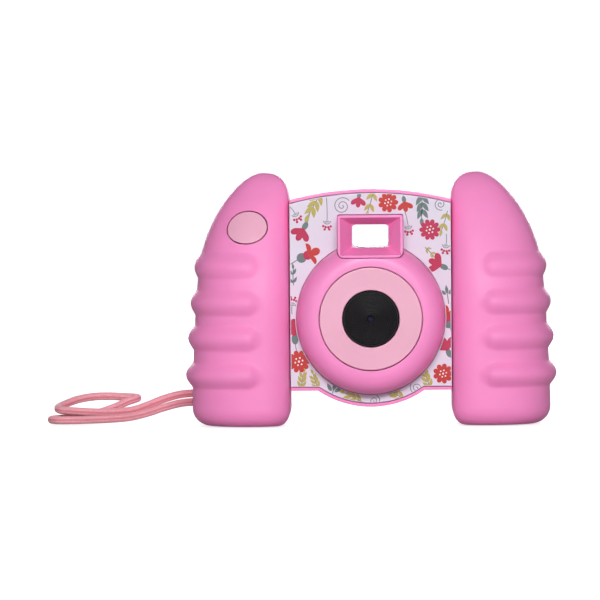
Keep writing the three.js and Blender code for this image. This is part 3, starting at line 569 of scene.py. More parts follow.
def path_frames(path):
    """Two directions across the path at each point, carried along without twist."""
    tangents = np.gradient(path, axis=0)
    tangents /= np.linalg.norm(tangents, axis=1)[:, None]
    side = np.cross(tangents[0], (0, 0, 1))
    sides = []
    for tangent in tangents:
        side = side - tangent * side.dot(tangent)
        side = side / np.linalg.norm(side)
        sides.append(side)
    sides = np.array(sides)
    return sides, np.cross(tangents, sides)


def braided_tube(name, route, diameter, carriers, pitch, spacing, sides, material):
    """A braided cord: two sets of strands wound opposite ways, each rising where it passes over."""
    path, length = smooth_path(route, spacing)
    across, up = path_frames(path)
    s = np.arange(len(path))[:, None] * length / (len(path) - 1)
    angle = np.arange(sides)[None, :] * 2 * math.pi / sides
    turn = 2 * math.pi * s / pitch
    right = np.cos(carriers / 2 * (angle + turn))
    left = np.cos(carriers / 2 * (angle - turn))
    braid = np.maximum(np.abs(right), np.abs(left)) ** 1.5 * (0.75 + 0.25 * right * left)
    crease = 0.12 * (np.exp(-(np.sin(angle) / 0.25) ** 2) + 0 * s)
    radius = diameter / 2 * (0.93 + 0.10 * braid - crease * 0.8)
    ends = np.minimum(s, length - s) / (0.3 * diameter)
    radius = radius * np.clip(0.75 + 0.25 * ends, 0.75, 1)
    points = path[:, None, :] + radius[..., None] * (
        np.cos(angle)[..., None] * across[:, None, :] + np.sin(angle)[..., None] * up[:, None, :])
    faces = loft_faces(len(path), sides)
    mesh = bpy.data.meshes.new(name)
    mesh.from_pydata(points.reshape(-1, 3).tolist(), [], faces)
    mesh.materials.append(material)
    # The braid attribute, strand height less the side creases, is what the cord's material paints shade from.
    painted_shade_field = mesh.attributes.new("braid", "FLOAT", "POINT")
    painted_shade_field.data.foreach_set("value", np.clip(braid - crease * 4, 0, 1).ravel().astype(np.float32))
    mesh.shade_smooth()
    piece = bpy.data.objects.new(name, mesh)
    COLLECTION.objects.link(piece)
    return piece, path, length


def make_ferrule():
    """The moulded rubber ferrule that grips both cords."""
    low, high = box("strap_ferrule")
    length = high[0] - low[0]
    y, z = (low[1] + high[1]) / 2, (low[2] + high[2]) / 2
    half_y, half_z = (high[1] - low[1]) / 2, (high[2] - low[2]) / 2
    count = 48
    steps = 60
    grooved_from, grooved_to, groove_pitch, groove_depth = 0.21, 0.63, 0.12, 0.045
    angles = np.arange(count) * 2 * math.pi / count
    across, up = [np.sign(v) * np.abs(v) ** 0.75 for v in (np.cos(angles), np.sin(angles))]
    rings = []
    for i in range(steps + 1):
        share = i / steps
        scale = min(1.0, 0.80 + 0.2 * math.sqrt(min(1.0, share / 0.1)))
        scale *= 1 - 0.4 * max(0.0, (share - 0.66) / 0.34) ** 1.6
        if grooved_from < share < grooved_to:
            scale -= groove_depth * max(0.0, math.cos(2 * math.pi * (share - 0.24) / groove_pitch))
        rings.append(np.column_stack([
            np.full(count, low[0] + share * length), y + half_y * scale * across, z + half_z * scale * up,
        ]))
    ferrule = loft("ferrule_detailed", rings, pale_rubber, sharp=50.0)
    return stands_for(ferrule, "camera", "pale_rubber", "strap_ferrule")


def make_cord(name, node, route, diameter, carriers, pitch, spacing, sides, **more):
    cord, path, length = braided_tube(name, route, diameter, carriers, pitch, spacing, sides, cord_fabric)
    stands_for(cord, "camera", "braided_cord", node)


ferrule_piece = make_ferrule()
make_cord(
    "strap_braid", "strap_cord", CORD_ROUTE, CORD_DIAMETER, 16, 0.0105, 0.00024, 64,
    with_pieces=[ferrule_piece],
)
make_cord("strap_thin_loop", "strap_tether", TETHER_ROUTE, TETHER_DIAMETER, 8, 0.004, 0.00014, 24)


# ------------------------------------------------------------------ grips

shell_low, shell_high = box("left_grip_front")
GRIP_TOP = shell_high[2]
CROWN_Y = shell_high[1] + GAP / 2
GRIP_INNER = shell_low[0]
CROWN_X = 43.0
GRIP_OUTER = 71.5
GRIP_TAPER = 2.7
TAPER_HEIGHT = 60.0
GRIP_FRONT = -22.0
GRIP_BACK = 27.0
GRIP_WALL = 2.4
SEAM = 0.05              # the shells all but meet, so that no light shows between them
OUTER_FADE = (60, 2.1, 1.7)      # where a wall starts to close in, how flat it is and how round it ends
INNER_FADE = (88, 2.6, 2.6)
FRONT_FADE = (48, 1.6, 1.6)
BACK_FADE = (58, 2.2, 2.2)
CROWN_START = 70.0
HOLLOW_LEVELS = (GRIP_WALL, 8, 30, 60, 72, 80, 87, 92, 95.5)
LUG_HOLLOW_LEVELS = HOLLOW_LEVELS[:4]
FRONT_ROUNDNESS = 2.3
BACK_ROUNDNESS = 2.5
CORNER_ROUNDNESS = 2.2
CREST_SHARE = 0.33       # where a grip is deepest, as a share of its width
FOOT_RADIUS = 7.0
FOOT_INNER_RADIUS = 5.0
CORNER_SHARE = 0.4
RIB_CRESTS = (20.3, 35.1, 49.1, 63.8)
RIB_HEIGHT = 2.8
RIB_FADE = 0.022
RIB_RADIUS = 5.2
RIB_ROUNDNESS = 1.35
RIB_FRONT_END = 49.0
RIB_BACK_END = 66.0


def crown_fade(z, start, flatness, roundness):
    """1 below start, falling to 0 at the crown along a superellipse."""
    rise = min(max((z - start) / (GRIP_TOP - start), 0.0), 1.0)
    return (1 - rise ** flatness) ** (1 / roundness)


def foot_inset(z, radius):
    drop = min(max(1 - z / FOOT_RADIUS, 0.0), 1.0)
    return radius * (1 - math.sqrt(1 - drop * drop))


def grip_walls(z):
    """The inner, outer, front and back walls of a grip at one height."""
    reach = GRIP_OUTER - CROWN_X - GRIP_TAPER * (z / TAPER_HEIGHT) ** 2
    foot = foot_inset(z, FOOT_RADIUS)
    return (
        CROWN_X - (CROWN_X - GRIP_INNER) * crown_fade(z, *INNER_FADE) + foot_inset(z, FOOT_INNER_RADIUS),
        CROWN_X + reach * crown_fade(z, *OUTER_FADE) - foot,
        CROWN_Y + (GRIP_FRONT - CROWN_Y) * crown_fade(z, *FRONT_FADE) + foot,
        CROWN_Y + (GRIP_BACK - CROWN_Y) * crown_fade(z, *BACK_FADE) - foot,
    )


def rib_height(x, y, z):
    end = np.where(y < CROWN_Y, RIB_FRONT_END, RIB_BACK_END)
    height = np.zeros(len(x))
    for crest in RIB_CRESTS:
        distance = np.hypot(z - crest, np.maximum(0, end - x))
        share = np.clip(1 - (distance / RIB_RADIUS) ** 2, 0, 1)
        height += share ** RIB_ROUNDNESS * (RIB_HEIGHT - RIB_FADE * (crest - RIB_CRESTS[0]))
    return height


def quarter(centre_x, centre_y, reach_x, reach_y, exponent, steps, from_y):
    """A quarter of a superellipse."""
    share = np.linspace(1, 0, steps + 1) if from_y else np.linspace(0, 1, steps + 1)
    angle = share * math.pi / 2
    cosine, sine = np.clip(np.cos(angle), 0, 1), np.clip(np.sin(angle), 0, 1)
    return np.column_stack([
        centre_x + reach_x * cosine ** (2 / exponent),
        centre_y + reach_y * sine ** (2 / exponent),
    ])


def grip_ring(z, inset, ribbed):
    inner, outer, front, back = grip_walls(z)
    inner, outer, front, back = inner + inset, outer - inset, front + inset, back - inset
    crest = inner + (outer - inner) * CREST_SHARE
    front_corner = (CROWN_Y - front) * CORNER_SHARE
    back_corner = (back - CROWN_Y) * CORNER_SHARE
    outline = np.vstack([
        quarter(crest, front + front_corner, inner - crest, -front_corner, CORNER_ROUNDNESS, 14, False),
        quarter(crest, CROWN_Y, outer - crest, front - CROWN_Y, FRONT_ROUNDNESS, 54, True)[1:],
        quarter(crest, CROWN_Y, outer - crest, back - CROWN_Y, BACK_ROUNDNESS, 40, False)[1:],
        quarter(crest, back - back_corner, inner - crest, back_corner, CORNER_ROUNDNESS, 12, True)[1:],
    ])
    x, y = outline[:, 0], outline[:, 1]
    away_x = (x - crest) / (outer - crest) ** 2
    away_y = (y - CROWN_Y) / (back - CROWN_Y) ** 2
    size = np.hypot(away_x, away_y)
    lift = rib_height(x, y, z) if ribbed else np.zeros(len(x))
    return np.column_stack([x + away_x / size * lift, y + away_y / size * lift, np.full(len(x), z)])


def grip_hollow(levels, side, material):
    """A tool for the space inside a grip's walls, from the first of the levels to the last."""
    return loft("tool", mirrored([grip_ring(z, GRIP_WALL, False) for z in levels], side), material)


def grip_shell(name, side, material):
    """The whole hollow shell of a grip, before it is parted."""
    foot = [FOOT_RADIUS * (1 - math.cos(math.radians(a))) for a in range(0, 90, 8)]
    walls = list(np.arange(FOOT_RADIUS, CROWN_START, 0.55))
    rise = GRIP_TOP - CROWN_START
    crown = [CROWN_START + rise * math.sin(math.radians(a)) for a in np.arange(0, 89, 1.8)]
    rings = [grip_ring(z, 0, True) for z in foot + walls + crown]
    skin = loft(name, mirrored(rings, side), material, apex=(side * CROWN_X, CROWN_Y, GRIP_TOP), sharp=50.0)
    return cut(skin, grip_hollow(HOLLOW_LEVELS, side, material))


def mirrored(rings, side):
    return [ring * np.array([side, 1, 1]) for ring in rings]


def grip_front_at(x, z):
    inner, outer, front, _ = grip_walls(z)
    crest = inner + (outer - inner) * CREST_SHARE
    across = abs(x - crest) / (outer - crest)
    return CROWN_Y + (front - CROWN_Y) * (1 - across ** FRONT_ROUNDNESS) ** (1 / FRONT_ROUNDNESS)


SHUTTER_X = 48.8
SHUTTER_Z = 79.1
SHUTTER_HALF_WIDTH = 7.85
SHUTTER_HALF_HEIGHT = 6.8
SHUTTER_GAP = 0.55


def shutter_frame():
    """The turn and place that take the button's own frame to the right grip."""
    x, z, step = SHUTTER_X, SHUTTER_Z, 0.5
    across = (grip_front_at(x + step, z) - grip_front_at(x - step, z)) / (2 * step)
    up = (grip_front_at(x, z + step) - grip_front_at(x, z - step)) / (2 * step)
    normal = Vector((across, -1, up)).normalized()
    turn = Vector((0, -1, 0)).rotation_difference(normal)
    middle = Vector((x, grip_front_at(x, z), z))
    flip = Matrix.Diagonal((-1, 1, 1, 1))
    return flip @ Matrix.Translation(middle * MM) @ turn.to_matrix().to_4x4()


def shutter_prism(margin, y0, y1, material=pink_soft):
    outline = oval(0, 0, SHUTTER_HALF_WIDTH + margin, SHUTTER_HALF_HEIGHT + margin)
    prism = hole(outline, y0, y1, material)
    prism.data.transform(shutter_frame())
    tidy(prism)
    return prism


def make_shutter_button():
    button = grip_shell("shutter_cap", -1, pale_pink)
    keep(button, shutter_prism(0, -6, 4, pale_pink))
    soften(button, 0.35, 3, 50.0)
    stem, flange = shutter_prism(-1.5, 1.2, 6, pale_pink), shutter_prism(0.8, 4.8, 6, pale_pink)
    join(button, stem, flange)
    tidy(button, 45.0)
    stands_for(button, "shutter", "pale_pink", "shutter_button")


def half_space(front):
    """What lies before or behind the seam between a grip's two shells."""
    y = (-FAR, CROWN_Y - SEAM / 2) if front else (CROWN_Y + SEAM / 2, FAR)
    return block((-FAR, y[0], -FAR), (FAR, y[1], FAR))


LUG_X = -64.0
LUG_Z = 9.5
LUG_BACK = 28.1
LUG_HALF_WIDTH = 3.1
LUG_THICKNESS = 3.0
EYE_RADIUS = 1.6
EYE_Y = 25.0
DOOR_DEPTH = 10.0        # from the crown's plane back to where a battery door begins
BORE_DEPTH = 8.0         # the same for the screws' bores


def make_lug():
    """The tab with the eye that the thin loop runs through."""
    root = CROWN_Y + 8
    tip = arc(LUG_X, LUG_BACK - LUG_HALF_WIDTH, LUG_HALF_WIDTH, 0, 180, 18)
    outline = [(LUG_X + LUG_HALF_WIDTH, root)] + tip + [(LUG_X - LUG_HALF_WIDTH, root)]
    rings = []
    for share, inset in ((-0.5, 0.5), (-0.42, 0.15), (-0.3, 0), (0.3, 0), (0.42, 0.15), (0.5, 0.5)):
        scale = 1 - inset / LUG_HALF_WIDTH
        z = LUG_Z + share * LUG_THICKNESS
        rings.append([(LUG_X + (x - LUG_X) * scale, y if y < root + 1 else y - inset, z) for x, y in outline])
    return loft("tool", rings, pink_soft)


def make_grip(word, side):
    low, high = box(f"{word}_battery_door")
    door_low = (low[0], CROWN_Y + DOOR_DEPTH, low[2])
    door_high = (high[0], FAR, high[2])
    screw_x, screw_z = centre(f"{word}_grip_screw")
    door_screw_z = centre(f"{word}_door_screw")[1]
    bore = half_width(f"{word}_grip_screw") + GAP

    front = keep(grip_shell(f"{word}_grip_front_skin", side, pink_soft), half_space(True))
    if side < 0:
        cut(front, shutter_prism(SHUTTER_GAP, -6, 5))
    tidy(front, 50.0)
    stands_for(front, "camera", "pink_shell", f"{word}_grip_front")

    rear = keep(grip_shell(f"{word}_grip_rear_skin", side, pink_soft), half_space(False))
    door = twin(rear, f"{word}_battery_door_skin")
    keep(door, block(door_low, door_high))
    cut(door, drum(bore, CROWN_Y + BORE_DEPTH, FAR, screw_x, door_screw_z))
    tidy(door, 50.0)
    stands_for(door, f"{word}_door", "pink_shell", f"{word}_battery_door")

    doorway = block([v - GAP for v in door_low], [v + GAP for v in door_high])
    cut(rear, doorway, drum(bore, CROWN_Y + BORE_DEPTH, FAR, screw_x, screw_z))
    if side < 0:
        join(rear, cut(make_lug(), grip_hollow(LUG_HOLLOW_LEVELS, side, pink_soft)))
        cut(rear, post(EYE_RADIUS, LUG_Z - 4.5, LUG_Z + 4.5, LUG_X, EYE_Y))
    tidy(rear, 50.0)
    stands_for(rear, "camera", "pink_shell", f"{word}_grip_rear")


def post(radius, z0, z1, x, y, segments=48):
    """A cutting cylinder along Z."""
    angles = np.arange(segments) * 2 * math.pi / segments
    xs, ys = x + radius * np.cos(angles), y + radius * np.sin(angles)
    return loft("tool", [np.column_stack([xs, ys, np.full(segments, z)]) for z in (z0, z1)], pink_soft)


make_grip("right", -1)
make_grip("left", 1)
make_shutter_button()


# ------------------------------------------------------------------ centre body

body_low, body_high = box("front_casing")
BODY_SIDE = body_high[0]
BODY_FRONT = body_low[1]
BODY_BACK = box("rear_casing")[1][1]
BODY_APEX = body_high[2]
BODY_WALL = 2.2
BODY_TOP_RADIUS = 125.0
BODY_FLAT = 14.2
BULGE_RADIUS = 37.5
BULGE_CENTRE = body_low[2] + BULGE_RADIUS
RIM = 1.2                # the casing's edge round the faceplate
FLOOR_THICKNESS = 2.0    # of the casing behind the faceplate
BARREL_HOLE_RADIUS = 8.5
plate_low, plate_high = box("faceplate")
PLATE_FRONT = plate_low[1]
PLATE_BACK = plate_high[1]
PLATE_FLOOR = PLATE_BACK + GAP
ring_low, ring_high = box("lens_ring")
LENS_Z = centre("lens_ring")[1]
RING_RADIUS = ring_high[0]
RING_INNER_RADIUS = 11.3
dome_low, dome_high = box("lens_dome")
DOME_HALF_WIDTH = dome_high[0]
DOME_HALF_HEIGHT = LENS_Z - dome_low[2]
DOME_FRONT = dome_low[1]
DOME_FLAT_SHARE = 0.72   # how much of the dome's width its flat front takes
DOME_HOLLOW_FRONT = -23.8
BAFFLE_HOLE_RADIUS = 12.5
GROOVE_WIDTH = 0.35      # the dark groove round the lens ring
GROOVE_DEPTH = 1.4
hood_low, hood_high = box("viewfinder_hood")
HOOD_LIP = 0.9
FUNNEL_DEPTH = 8.0
SIGHT_Z = centre("viewfinder_tube")[1]
TUBE_WALL = 1.5
SIGHT_WIDTH, SIGHT_HEIGHT = [size - 2 * TUBE_WALL for size in extent("viewfinder_tube")]


def body_outline(inset, side_inset, bulge_steps=48, top_steps=40):
    """The body as seen from the front. The outline's own inset adds to both of these."""
    def outline(extra=0.0):
        side = BODY_SIDE - side_inset - extra
        pull = inset + extra
        top_radius = BODY_TOP_RADIUS - pull
        top_centre = BODY_APEX - BODY_TOP_RADIUS
        top_angle = math.asin(side / top_radius)
        bulge = BULGE_RADIUS - pull
        flat = BODY_FLAT + pull
        bulge_angle = math.acos((BULGE_CENTRE - flat) / bulge)
        points = [(-side, flat)]
        for i in range(bulge_steps + 1):
            angle = bulge_angle * (2 * i / bulge_steps - 1)
            points.append((bulge * math.sin(angle), BULGE_CENTRE - bulge * math.cos(angle)))
        points.append((side, flat))
        for i in range(top_steps + 1):
            angle = top_angle * (1 - 2 * i / top_steps)
            points.append((top_radius * math.sin(angle), top_centre + top_radius * math.cos(angle)))
        return np.array(points)
    return outline


def hood_hole(margin):
    return hole(node_outline("viewfinder_hood", 2.5, margin, 0.8))


def sight_hole(y0, y1, margin=0.0, radius=1.8):
    width, height = SIGHT_WIDTH + 2 * margin, SIGHT_HEIGHT + 2 * margin
    return hole(rounded_rectangle(0, SIGHT_Z, width, height, radius), y0, y1)


def dome_hole(margin):
    return hole(oval(0, LENS_Z, DOME_HALF_WIDTH + margin, DOME_HALF_HEIGHT + margin, 160))


def make_front_casing():
    casing = slab("front_casing_shell", body_outline(0, 0), BODY_FRONT, CROWN_Y - GAP / 2, pink_case, front=0.4)
    cut(
        casing,
        hole(body_outline(BODY_WALL, BODY_WALL), PLATE_FLOOR + FLOOR_THICKNESS),
        hole(body_outline(RIM, -1), -FAR, PLATE_FLOOR),
        drum(BARREL_HOLE_RADIUS, -FAR, 0, 0, LENS_Z),
        sight_hole(-FAR, 0, TUBE_WALL + GAP, 2.2),
    )
    tidy(casing, 40.0)
    stands_for(casing, "camera", "pink_shell", "front_casing")


def make_faceplate():
    plate = slab("faceplate_gloss", body_outline(RIM + GAP, 0), PLATE_FRONT, PLATE_BACK, plate_white, front=0.25)
    cut(plate, dome_hole(GAP), hood_hole(GAP))
    tidy(plate, 40.0)
    stands_for(plate, "camera", "printed_plate", "faceplate")


def make_dome():
    """The dome's side is a superellipse from the plate up to its nearly flat front."""
    depth = PLATE_BACK - DOME_FRONT
    steps = 44
    count = 192
    angles = np.arange(count) * 2 * math.pi / count
    rings = []
    for i in range(steps + 1):
        angle = math.radians(90 * i / steps)
        share = DOME_FLAT_SHARE + (1 - DOME_FLAT_SHARE) * math.cos(angle) ** (2 / 2.3)
        rings.append(np.column_stack([
            DOME_HALF_WIDTH * share * np.cos(angles),
            np.full(count, PLATE_BACK - depth * math.sin(angle) ** (2 / 2.7)),
            LENS_Z + DOME_HALF_HEIGHT * share * np.sin(angles),
        ]))
    dome = loft("lens_dome_skin", rings, pink_case, sharp=50.0)
    recess = ring_high[1] + GAP
    groove, floor = RING_RADIUS + GROOVE_WIDTH, recess + GROOVE_DEPTH
    under = RING_RADIUS - 0.8
    seat = [(0, -FAR), (groove, -FAR), (groove, floor), (under, floor), (under, recess), (0, recess)]
    cut(
        dome,
        turned("tool", seat, 0, LENS_Z, pink_case, 160),
        drum(BAFFLE_HOLE_RADIUS, -FAR, FAR, 0, LENS_Z, 96),
        drum(RING_RADIUS - 1.2, DOME_HOLLOW_FRONT, FAR, 0, LENS_Z, 96),
        hood_hole(GAP),
    )
    soften(dome, 0.16, 2, 45.0)
    stands_for(dome, "camera", "pink_shell", "lens_dome")


def make_ring():
    """The pale ring round the lens: flat-faced, and rounded at both edges."""
    front, back = ring_low[1], ring_high[1]
    inner, outer = RING_INNER_RADIUS, RING_RADIUS
    round_in, round_out = 0.35, 0.4
    middle = (inner + outer) / 2
    half_flat, dip = 2.5, 0.05
    profile = [(inner, back), (outer, back)]
    profile += arc(outer - round_out, front + round_out, round_out, 0, -90, 6)
    profile += [(middle + half_flat, front + dip), (middle - half_flat, front + dip)]
    profile += arc(inner + round_in, front + round_in, round_in, -90, -180, 6)
    ring = turned("lens_ring_skin", profile, 0, LENS_Z, pale_pink, 192)
    stands_for(ring, "camera", "pale_pink", "lens_ring")


def make_baffle():
    """The black disc in front of the lens: fine grooves down a shallow cone to a small aperture."""
    low, high = box("lens_baffle")
    radius = high[0]
    front, back = low[1], high[1]
    aperture = 1.5
    rim = radius - 0.55
    grooves = 13
    step = (rim - aperture) / grooves
    fall = 2.6
    profile = [(radius, back), (radius, front + 0.3), (radius - 0.2, front), (rim, front)]
    for i in range(grooves):
        start = rim - step * i
        level = front + 0.25 + fall * i / grooves
        profile += [(start, level), (start - 0.32 * step, level + 0.32), (start - step + 0.1, level + 0.18)]
    profile += [(aperture, front + fall + 0.4), (aperture, front + fall + 1.2), (4.2, back)]
    disc = turned("lens_baffle_skin", profile, 0, LENS_Z, black_satin, 144, sharp=25.0)
    stands_for(disc, "camera", "black_plastic", "lens_baffle")


def make_hood():
    """The hood round the sight hole, with a funnel that narrows down to it."""
    middle = centre("viewfinder_hood")[1]
    half_wide, half_high = [size / 2 - HOOD_LIP for size in extent("viewfinder_hood")]
    front, floor = hood_low[1], hood_low[1] + FUNNEL_DEPTH
    reach = 1.0

    def funnel_ring(wide, high, y, z):
        return [(-wide, y, z - high), (wide, y, z - high), (wide, y, z + high), (-wide, y, z + high)]

    flare = reach / FUNNEL_DEPTH
    wide_flare = (half_wide - SIGHT_WIDTH / 2) * flare
    high_flare = (half_high - SIGHT_HEIGHT / 2) * flare
    drift = (middle - SIGHT_Z) * flare
    funnel = loft("tool", [
        funnel_ring(half_wide + wide_flare, half_high + high_flare, front - reach, middle + drift),
        funnel_ring(SIGHT_WIDTH / 2, SIGHT_HEIGHT / 2, floor, SIGHT_Z),
    ], pink_case)
    outline = node_outline("viewfinder_hood", 2.5, 0.0, 0.8)
    hood = slab("viewfinder_hood_skin", outline, front, hood_high[1], pink_case)
    cut(hood, funnel, sight_hole(floor - 1, FAR))
    soften(hood, 0.28, 3, 30.0)
    stands_for(hood, "camera", "pink_shell", "viewfinder_hood")


make_front_casing()
make_faceplate()
make_dome()
make_ring()
make_baffle()
make_hood()


# ------------------------------------------------------------------ printed flowers

# Each ink's material, and how far it stands off the plate, so that later inks lie over earlier ones.
INKS = {
    "stem": (make_ink("ink_stem", STEM), 0.016),
    "olive": (make_ink("ink_olive", OLIVE), 0.022),
    "grey_green": (make_ink("ink_grey_green", GREY_GREEN), 0.028),
    "crimson": (make_ink("ink_crimson", CRIMSON), 0.034),
    "orange_red": (make_ink("ink_orange_red", ORANGE_RED), 0.040),
    "white": (make_ink("ink_white", WHITE), 0.048),
}
printed = {ink: [] for ink in INKS}


def placed(points, x, z, degrees, size=1.0):
    """Points drawn round the origin and growing along +Z, turned, sized and moved."""
    a = math.radians(degrees)
    points = np.asarray(points, dtype=float) * size
    return np.column_stack([
        x + points[:, 0] * math.cos(a) - points[:, 1] * math.sin(a),
        z + points[:, 0] * math.sin(a) + points[:, 1] * math.cos(a),
    ])


def put(ink, points, x, z, degrees, size=1.0):
    """Prints an outline in that ink, turned, sized and moved."""
    printed[ink].append(placed(points, x, z, degrees, size))


def stroke(points, width):
    """The outline of a line of that width."""
    points = np.asarray(points, dtype=float)
    along = np.gradient(points, axis=0)
    along /= np.linalg.norm(along, axis=1)[:, None]
    across = np.column_stack([-along[:, 1], along[:, 0]]) * width / 2
    return np.vstack([points + across, (points - across)[::-1]])


def disc(x, z, radius, steps=14):
    angles = np.arange(steps) * 2 * math.pi / steps
    return np.column_stack([x + radius * np.cos(angles), z + radius * np.sin(angles)])


def curved_line(length, bend, steps=12):
    """A line along +Z from the origin that bends sideways."""
    t = np.linspace(0, 1, steps)
    return np.column_stack([bend * t * t, length * t])


def leaf(length, width, steps=9):
    t = np.linspace(0, 1, steps)
    half = width / 2 * np.sin(math.pi * t ** 0.8)
    right, left = [np.column_stack([side * half, length * t]) for side in (1, -1)]
    return np.vstack([right, left[-2:0:-1]])


def daisy(x, z, radius, petals, ink):
    """A flower with a ring of seven white dots."""
    angles = np.arange(petals * 12) * 2 * math.pi / (petals * 12)
    reach = radius * (0.70 + 0.30 * np.abs(np.cos(petals * angles / 2)) ** 0.6)
    printed[ink].append(np.column_stack([x + reach * np.cos(angles), z + reach * np.sin(angles)]))
    printed["white"].append(disc(x, z, radius * 0.09))
    for i in range(6):
        a = math.radians(60 * i + 15)
        dot_x, dot_z = x + radius * 0.33 * math.cos(a), z + radius * 0.33 * math.sin(a)
        printed["white"].append(disc(dot_x, dot_z, radius * 0.075))


def tulip(x, z, size, degrees, ink="crimson", stem=6.0, bend=1.0):
    """An open flower of four petals on a grey bulb and a thin stem."""
    fan = np.radians(np.linspace(-68, 68, 45))
    reach = 0.62 + 0.38 * np.abs(np.cos(fan / math.radians(68) * math.pi * 1.5)) ** 0.8
    crown = np.column_stack([reach * np.sin(fan), reach * np.cos(fan)])
    outline = np.vstack([crown[::-1], [(-0.25, 0.05), (0, -0.08), (0.25, 0.05)]])
    put(ink, outline, x, z, degrees, size)
    a = np.arange(20) / 20 * 2 * math.pi
    bulb = np.column_stack([0.21 * np.sin(a), -0.26 + 0.34 * np.cos(a)])
    put("grey_green", bulb, x, z, degrees, size)
    if stem:
        line = curved_line(-stem, bend)
        line[:, 1] -= 0.5 * size
        put("stem", stroke(line, 0.34), x, z, degrees)


def sprig(x, z, length, degrees, pairs=3, ink="olive", bend=0.8):
    """A bent stalk with pairs of leaves and one leaf at its tip."""
    stalk = stroke(curved_line(length, bend), 0.34)
    put("stem" if ink == "olive" else ink, stalk, x, z, degrees)
    for i in range(pairs):
        t = 0.15 + 0.50 * i / max(pairs - 1, 1)
        for side in (-1, 1):
            blade = leaf(length * 0.42, length * 0.17)
            blade = placed(blade, bend * t * t + side * 0.16, length * t, -side * (34 - 4 * i))
            put(ink, blade, x, z, degrees)
    put(ink, placed(leaf(length * 0.36, length * 0.15), bend, length * 0.98, 0), x, z, degrees)


def berries(x, z, degrees, stem=5.0):
    """A half wheel of fine spokes with six berries past its rim."""
    rim = np.radians(np.linspace(-80, 80, 18))
    rim = np.column_stack([1.5 * np.sin(rim), 1.5 * np.cos(rim)])
    put("stem", stroke(rim, 0.26), x, z, degrees)
    for i in range(5):
        a = math.radians(-60 + 30 * i)
        spoke = [(0.3 * math.sin(a), 0.3 * math.cos(a)), (1.36 * math.sin(a), 1.36 * math.cos(a))]
        put("stem", stroke(spoke, 0.2), x, z, degrees)
    for across, up in ((-1.5, 2.4), (-0.55, 2.75), (0.5, 2.7), (1.45, 2.35), (-0.95, 3.55), (0.85, 3.6)):
        put("crimson", disc(across, up, 0.5), x, z, degrees)
    put("stem", stroke(curved_line(-stem, 0.5), 0.3), x, z, degrees)


def spiral(x, z, radius, degrees, turns=2.2, side=1):
    t = np.linspace(0.06, 1, 70)
    a = t * turns * 2 * math.pi
    coil = np.column_stack([side * radius * t * np.sin(a), radius * t * np.cos(a)])
    put("stem", stroke(coil, 0.34), x, z, degrees)


def pointed_leaves(x, z, size, degrees):
    """Three leaves that fan out from a short stalk."""
    for turn, share in ((-44, 0.85), (0, 1.0), (44, 0.85)):
        a = math.radians(turn)
        blade = placed(leaf(share, 0.36), -0.2 * math.sin(a), 0.2 * math.cos(a), turn)
        put("grey_green", blade, x, z, degrees, size)
    put("stem", stroke([(0, -0.9), (0, -0.35), (0, 0.25)], 0.1), x, z, degrees, size)


def blossom(x, z, size, degrees):
    """A round grey bud, a crimson heart and a spray of three orange petals."""
    put("grey_green", disc(0, 0, 0.36, 24), x, z, degrees, size)
    put("crimson", disc(0, 0.48, 0.34, 24), x, z, degrees, size)
    fan = np.radians(np.linspace(-85, 85, 49))
    reach = 0.32 + 0.52 * np.abs(np.cos(fan / math.radians(85) * math.pi)) ** 0.9
    petals = np.column_stack([reach * np.sin(fan), 0.62 + reach * np.cos(fan)])
    put("orange_red", np.vstack([petals[::-1], [(0, 0.5)]]), x, z, degrees, size)
    put("stem", stroke(curved_line(-1.5, 0.25), 0.07), x, z, degrees, size)


def draw_flowers():
    berries(-29.8, 84.6, -152, 3)
    sprig(-19.4, 93.0, 10.5, 156, 3)
    tulip(-26.4, 78.2, 5.2, 150, "crimson", 4)
    berries(-17.0, 81.6, 178, 9)
    spiral(-11.0, 87.2, 3.5, 20)
    blossom(-27.2, 66.8, 5.4, -66)
    sprig(-30.4, 56.0, 6.5, 8, 2, "grey_green")
    tulip(-4.4, 90.4, 3.9, 174, "crimson", 3)
    sprig(1.4, 93.4, 8.6, 170, 2)
    daisy(7.2, 88.5, 4.0, 9, "orange_red")
    tulip(13.6, 88.6, 4.0, -170, "orange_red", 5)
    berries(15.0, 79.4, -172, 6)
    spiral(27.8, 87.6, 2.4, 200, 2.0, -1)
    sprig(20.4, 92.6, 10.5, 184, 3, "grey_green")
    daisy(23.6, 77.6, 4.2, 10, "crimson")
    sprig(30.6, 85.0, 8, 168, 2)
    berries(30.0, 71.8, 172, 4)
    tulip(27.8, 63.4, 5.2, 64, "crimson", 4)
    sprig(21.6, 70.6, 5.0, -128, 2)
    pointed_leaves(30.4, 51.4, 3.6, 8)
    blossom(30.8, 40.4, 5.2, 14)
    tulip(30.2, 30.0, 5.4, 24, "crimson", 4)
    daisy(28.4, 20.6, 4.0, 9, "orange_red")
    sprig(23.6, 14.4, 8.0, 24, 3)
    spiral(17.8, 15.0, 2.5, 90, 2.1)
    sprig(13.4, 10.4, 8.4, 62, 3)
    spiral(1.2, 10.0, 2.4, 10, 2.0, -1)
    sprig(-3.0, 9.4, 8.4, 68, 3)
    pointed_leaves(-15.4, 13.2, 4.2, -16)
    sprig(-20.8, 14.6, 6.6, 26, 3)
    sprig(-27.8, 14.6, 7.2, -4, 3)
    daisy(-28.6, 25.8, 4.5, 10, "orange_red")
    tulip(-30.2, 36.4, 6.4, 4, "crimson", 6)
    berries(-31.2, 47.6, -8, 3)


